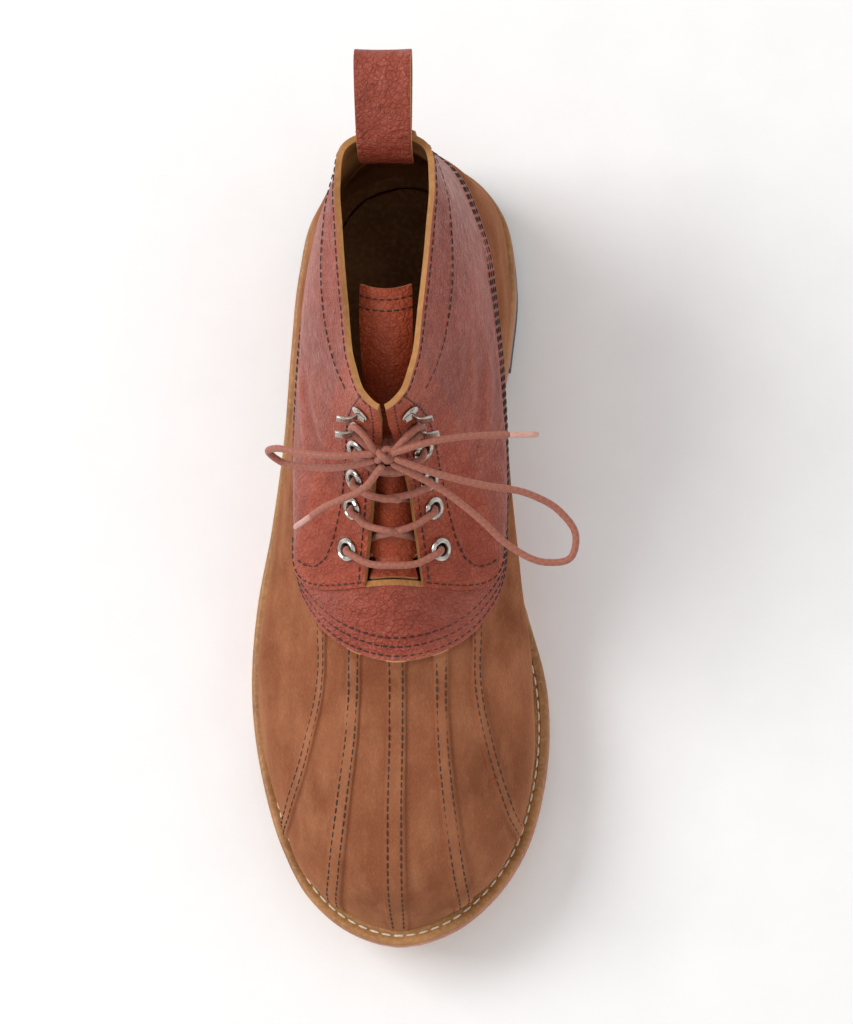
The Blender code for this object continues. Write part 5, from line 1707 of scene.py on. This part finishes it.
@dataclass
class Fasteners:
    """Eyelets up the throat and speed hooks above them."""

    last: Last
    finishes: Finishes
    upper: Upper
    hook_levels: tuple[float, ...] = (8.42, 9.05)
    hole: float = 2.3 * MM
    barrel: float = 2.6 * MM
    flange: float = 4.5 * MM
    rise: float = 1.2 * MM
    gap: float = 0.3 * MM

    def build(self) -> None:
        """Build every eyelet and hook."""
        outside = self.upper.overlay_step + self.upper.facing_step
        eyelet, hook = self.make_eyelet(), self.make_hook()
        for half in Half:
            for number, level in enumerate(self.upper.eyelet_levels, start=1):
                piece = Workshop.copy(eyelet, f"ring_{half.label}_{number}")
                share = self.upper.eyelet_share(level, half)
                Workshop.place(piece, self.last.seat(level, share, outside + 2 * self.gap))
                hand_over(piece, "nickel", f"eyelet_{half.label}_{number}")
            for number, level in enumerate(self.hook_levels, start=1):
                piece = Workshop.copy(hook, f"speed_hook_{half.label}_{number}")
                inset = self.upper.eyelet_inset * np.interp(level, (8.0, 9.0), (1.0, 0.8))
                share = half.sign * float(self.last.slot_share(level, half, inset))
                seat = self.last.seat(level, share, outside + 2 * self.gap)
                if half is Half.LATERAL:
                    seat = seat @ Matrix.Rotation(math.pi, 4, "Z")
                Workshop.place(piece, seat)
                hand_over(piece, "nickel", f"hook_{half.label}_{number}")
        for master in (eyelet, hook):
            bpy.data.objects.remove(master, do_unlink=True)

    def make_eyelet(self) -> bpy.types.Object:
        """Spin one rolled eyelet with its barrel."""
        profile = [(self.hole, -1.6 * MM), (self.barrel, -1.6 * MM), (self.barrel, -0.15 * MM),
                   (self.flange - 0.3 * MM, -0.15 * MM), (self.flange, 0.1 * MM),
                   (self.flange - 0.1 * MM, 0.45 * MM), (self.flange - 0.5 * MM, 0.85 * MM),
                   (0.5 * (self.flange + self.hole), self.rise), (self.hole + 0.45 * MM, 1.0 * MM),
                   (self.hole + 0.1 * MM, 0.6 * MM), (self.hole, 0.0), (self.hole, -1.6 * MM)]
        piece = Workshop.lathe("ring", profile)
        piece.data.materials.append(self.finishes.nickel)
        return piece

    def make_hook(self) -> bpy.types.Object:
        """Bend one hook from a strip and set it on its round seat."""
        # side view of the strip's middle line, in millimetres, and its width there
        line = [(-3.0, 0.75, 3.2), (-1.2, 0.9, 4.0), (0.2, 1.2, 4.4), (0.55, 2.4, 4.4), (0.9, 3.8, 4.6),
                (1.9, 5.3, 4.8), (3.6, 6.3, 4.6), (5.0, 6.9, 3.6)]
        path = self.last.smooth(line, 4)
        places = np.linspace(-1, 1, 7)
        sheet = np.empty((len(path), len(places), 3))
        for column, place in enumerate(places):
            sheet[:, column, 0] = path[:, 0] * MM
            sheet[:, column, 1] = place * path[:, 2] / 2 * MM
            sheet[:, column, 2] = path[:, 1] * MM
        strip = Workshop.grid("strip", sheet)
        Workshop.modify(strip, "SOLIDIFY", thickness=0.9 * MM, offset=0.0)
        Workshop.round_edges(strip, 0.22 * MM)
        strip.data.materials.append(self.finishes.nickel)
        seat = Workshop.lathe("seat", [(0.0, 0.0), (3.5 * MM, 0.0), (3.6 * MM, 0.3 * MM),
                                       (3.2 * MM, 0.65 * MM), (1.6 * MM, 0.85 * MM), (0.0, 0.9 * MM)], 24)
        seat.data.materials.append(self.finishes.nickel)
        piece = Workshop.join("speed_hook", [strip, seat])
        Workshop.soften(piece, 45)
        return piece


@dataclass
class Lacing:
    """The lace through the eyelets, its knot, and the bow."""

    last: Last
    finishes: Finishes
    upper: Upper
    diameter: float = 2.6 * MM
    gap: float = 0.3 * MM
    knot_radius: float = 4.6 * MM
    tip_length: float = 12 * MM
    knot: tuple[float, float, float] = (-1.0, -93.5, 121.5)
    loop_right: tuple = (
        (6, -96, 122), (16, -99.5, 120), (33, -103, 114.5), (51, -105.5, 107.5), (61, -110.5, 102.5),
        (67, -119, 99), (65, -127, 97), (56, -128.5, 97), (43, -123, 100.5), (33, -114.5, 106),
        (20, -105, 112), (5, -99, 117.5),
    )
    loop_left: tuple = (
        (-7, -93.5, 124), (-18, -94, 122.5), (-31, -92, 117), (-41, -89, 110), (-44.5, -89, 102.5),
        (-40, -92, 98.5), (-32, -94, 102), (-15, -96.5, 114.5), (-6.5, -95.8, 119),
    )
    end_right: tuple = ((4, -93, 125.5), (14, -90.5, 128.5), (24, -88.5, 128.5), (32, -87.5, 127),
                        (43, -86.5, 123))
    end_left: tuple = ((-3, -99.5, 116.5), (-9, -104, 112), (-17, -107, 107), (-24, -109, 101),
                       (-29, -111, 94.5))

    def build(self) -> None:
        """Lace the boot and tie it."""
        self.build_bow()
        self.build_crossings()

    def over(self, level: float, half: Half, reach: float, height: float) -> np.ndarray:
        """Return a lace point at a reach past the facing's edge and a height above the facing."""
        share = half.sign * float(self.last.slot_share(level, half, reach))
        lift = self.upper.overlay_step + self.upper.facing_step + height
        return self.last.offset([level], [share], lift)[0]

    def cord_piece(self, name: str, points: Sequence, spacing: float = 0.9 * MM) -> bpy.types.Object:
        """Draw a lace along points."""
        path = Workshop.resample(self.last.smooth(points, 8), spacing)
        piece = Workshop.tube(name, path, self.diameter)
        piece.data.materials.append(self.finishes.lace)
        return piece

    def into(self, level: float, half: Half) -> list[np.ndarray]:
        """Return the points of a lace that comes out of an eyelet and leans over its ring."""
        inset = self.upper.eyelet_inset
        clear = self.diameter / 2 + 1.2 * MM + 3 * self.gap
        return [self.over(level, half, inset + 0.5 * MM, -3.2 * MM),
                self.over(level, half, inset + 0.3 * MM, -0.6 * MM),
                self.over(level, half, inset - 0.8 * MM, 1.6 * MM),
                self.over(level - 0.02, half, inset - 3.2 * MM, clear + 0.1 * MM),
                self.over(level - 0.05, half, 0.35 * inset, clear - 0.3 * MM)]

    def build_crossings(self) -> None:
        """Run the bar and the crossings through the eyelets."""
        levels = self.upper.eyelet_levels
        rest = self.diameter / 2 + 2 * self.gap
        half_throat = self.last.throat_width * 0.45
        first = levels[0]
        bar = self.into(first, Half.LATERAL)
        bar += [self.over(first - 0.12, Half.LATERAL, -2 * MM, rest + 0.6 * MM),
                self.over(first - 0.15, Half.MEDIAL, -half_throat, rest - 0.4 * MM),
                self.over(first - 0.12, Half.MEDIAL, -2 * MM, rest + 0.6 * MM)]
        bar += self.into(first, Half.MEDIAL)[::-1]
        hand_over(self.cord_piece("lace_bottom_bar", bar), "waxed_lace", "lace_bar")
        for number, level in enumerate(levels[1:], start=1):
            other = levels[number - 1]
            drop = level - other
            runs = []
            for half in Half:
                far = Half.MEDIAL if half is Half.LATERAL else Half.LATERAL
                lift = 0.0 if half is Half.LATERAL else -1.9 * MM
                low = level - drop * (0.42 if half is Half.LATERAL else 0.50)
                points = self.into(level, half)
                points += [self.over(level - 0.25 * drop, half, 0.2 * MM, rest + 0.9 * MM + lift * 0.4),
                           self.over(low, half, -float(half_throat * (1.6 - 0.2 * level / 7)) * 0.6,
                                     rest + lift),
                           self.over(other + 0.36 * drop, far, -4.4 * MM, -2.2 * MM),
                           self.over(other + 0.30 * drop, far, -1.6 * MM, -4.7 * MM),
                           self.over(other + 0.25 * drop, far, 1.4 * MM, -5.7 * MM),
                           self.over(other + 0.20 * drop, far, 5.0 * MM, -6.1 * MM)]
                runs.append(self.cord_piece(f"run_{number}_{half.label}", points))
            piece = Workshop.join(f"lace_crossing_{number}", runs)
            nodes = (f"lace_cross_{number}",) if number < 3 else ()
            hand_over(piece, "waxed_lace", *nodes)
        ties = []
        for half in Half:
            points = [self.over(7.98, half, -0.8 * MM, -4.0 * MM), self.over(8.02, half, 0.0, 0.4 * MM),
                      self.over(8.14, half, 3.2 * MM, 2.0 * MM), self.over(8.30, half, 7.4 * MM, 2.2 * MM),
                      self.over(8.44, half, 9.9 * MM, 2.3 * MM), self.over(8.60, half, 7.6 * MM, 2.4 * MM),
                      self.over(8.62, half, 3.6 * MM, 3.4 * MM),
                      np.array(self.knot) * MM + [half.sign * 3.4 * MM, 1.0 * MM, 2.0 * MM]]
            ties.append(self.cord_piece(f"tie_{half.label}", points))
        hand_over(Workshop.join("lace_hook_runs", ties), "waxed_lace")

    def build_bow(self) -> None:
        """Tie the knot, make each loop and end as a cord, and tip the ends."""
        knot = np.array(self.knot) * MM
        wraps = self.make_knot(knot)
        away = self.knot_radius + 1.6 * self.gap
        first = True
        for name, route, node_name in (("bow_loop_right", self.loop_right, "lace_loop_right"),
                                       ("bow_loop_left", self.loop_left, "lace_loop_left"),
                                       ("bow_end_right", self.end_right, "lace_end_right"),
                                       ("bow_end_left", self.end_left, "lace_end_left")):
            closes = "loop" in name
            points = np.array(route, float) * MM
            points[0] = knot + (points[0] - knot) / np.linalg.norm(points[0] - knot) * away
            if closes:
                points[-1] = knot + (points[-1] - knot) / np.linalg.norm(points[-1] - knot) * away
            path = Workshop.resample(self.last.smooth(points, 8), 0.9 * MM)
            piece = Workshop.tube(name, path, self.diameter)
            piece.data.materials.append(self.finishes.lace)
            length = float(np.linalg.norm(np.diff(path, axis=0), axis=1).sum())
            with_pieces = [wraps] if first else []
            if not closes:
                with_pieces.append(self.make_tip(name, path))
            hand_over(piece, "waxed_lace", node_name)
            LOG.info("%s: %.0f mm of lace", name, length / MM)
            first = False

    def make_knot(self, centre: np.ndarray) -> bpy.types.Object:
        """Wrap the lace round itself into a small tight knot."""
        turns = np.linspace(0, 2 * math.pi, 130, endpoint=False)
        body = []
        for turn in turns:
            ring = 2.15 + 0.75 * math.cos(3 * turn)
            body.append((ring * math.cos(2 * turn) * 1.05, 1.9 * math.sin(3 * turn),
                         ring * math.sin(2 * turn) * 0.95))
        body.append(body[0])
        path = Workshop.resample(np.array(body) * MM + centre, 0.8 * MM)
        piece = Workshop.tube("bow_knot", path, self.diameter * 0.98)
        piece.data.materials.append(self.finishes.lace)
        hand_over(piece, "waxed_lace", "lace_knot")
        return piece

    def make_tip(self, name: str, path: np.ndarray) -> bpy.types.Object:
        """Close a lace's end in its tip."""
        heading = path[-1] - path[-2]
        heading /= np.linalg.norm(heading)
        start = path[-1] + heading * (0.5 * self.diameter + self.gap)
        line = np.array([start + heading * s * (self.tip_length - self.diameter)
                         for s in np.linspace(0, 1, 10)])
        tip = Workshop.tube(name.replace("end", "tip"), line, self.diameter * 0.9)
        tip.data.materials.append(self.finishes.tip)
        hand_over(tip, "lace_tip", name.replace("bow_end", "lace_tip"))
        return tip


@dataclass
class Studio:
    """Pale floor, soft light, and the camera nearly overhead."""

    target: tuple[float, float, float] = (0.010, -0.103, 0.055)
    view: tuple[float, float, float] = (-0.065, 0.166, -0.984)
    up: tuple[float, float, float] = (0.0, 0.986, 0.166)
    distance: float = 2.0
    lens: float = 190.0
    sensor: float = 36.0
    clip_end: float = 20.0
    room: tuple[float, float, float, float] = (1.0, 0.995, 0.99, 1.0)
    room_strength: float = 0.68
    # name, place, size and power of each soft box, and the point that both face
    boxes: tuple = (("key", (-1.5, 0.35, 1.7), 1.2, 31.0), ("fill", (0.9, -0.5, 2.0), 1.6, 2.5))
    lit: tuple[float, float, float] = (0.0, -0.1, 0.05)
    floor_size: float = 9.0
    floor_gap: float = 0.2 * MM

    def build(self) -> None:
        """Set the camera, the lights and the floor."""
        self.set_camera()
        self.set_lights()
        self.lay_floor()
        bpy.context.scene.view_settings.view_transform = "Standard"

    def set_camera(self) -> None:
        """Aim the camera at the boot."""
        camera = bpy.data.cameras.new("camera")
        camera.lens = self.lens
        camera.sensor_width = self.sensor
        camera.clip_end = self.clip_end
        seat = Workshop.hang("camera", camera)
        forward = Vector(self.view).normalized()
        right = forward.cross(Vector(self.up)).normalized()
        upward = right.cross(forward)
        turn = Matrix((right, upward, -forward)).transposed().to_4x4()
        seat.matrix_world = Matrix.Translation(Vector(self.target) - forward * self.distance) @ turn
        bpy.context.scene.camera = seat

    def set_lights(self) -> None:
        """Hang the soft boxes and light the room."""
        world = bpy.data.worlds.new("room")
        bpy.context.scene.world = world
        world.use_nodes = True
        background = world.node_tree.nodes["Background"]
        background.inputs["Color"].default_value = self.room
        background.inputs["Strength"].default_value = self.room_strength
        for name, place, size, power in self.boxes:
            light = bpy.data.lights.new(name, "AREA")
            light.size = size
            light.energy = power
            lamp = Workshop.hang(name, light)
            lamp.location = place
            heading = Vector(self.lit) - Vector(place)
            lamp.rotation_mode = "QUATERNION"
            lamp.rotation_quaternion = heading.to_track_quat("-Z", "Y")

    def lay_floor(self) -> None:
        """Lay a pale painted floor."""
        Workshop.clear()
        bpy.ops.mesh.primitive_grid_add(x_subdivisions=8, y_subdivisions=8, size=self.floor_size)
        floor = bpy.context.object
        floor.name = "pale_floor"
        paint = Rubber("white_floor_paint", "#F9F8F8", "#F6F5F5", "#FBFAFA", 0.7, 6.0).make()
        floor.data.materials.append(paint)
        floor.location.z = -self.floor_gap
        floor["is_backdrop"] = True


def write_sizes(before: tuple[Vector, Vector], after: tuple[Vector, Vector]) -> None:
    """Gather the frame's box and the dressed box as plain numbers."""
    sizes = {"cad": [list(map(float, corner)) for corner in before],
             "visual": [list(map(float, corner)) for corner in after]}


def main() -> None:
    """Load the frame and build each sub-assembly in order."""
    logging.basicConfig(level=logging.INFO, format="%(message)s")
    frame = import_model()
    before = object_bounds()
    before = (before[0].copy(), before[1].copy())
    Workshop.clear()
    last = Last()
    finishes = Finishes()
    Studio().build()
    upper = Upper(last, finishes)
    Lacing(last, finishes, upper).build()
    upper.build()
    upper.sew()
    Tongue(last, finishes).build()
    BackStrap(last, finishes).build()
    PullLoop(last, finishes).build()
    Fasteners(last, finishes, upper).build()
    Sole(last, finishes, frame["nodes"]["insole"]).build()
    write_sizes(before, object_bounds())


if __name__ == "__main__":
    main()
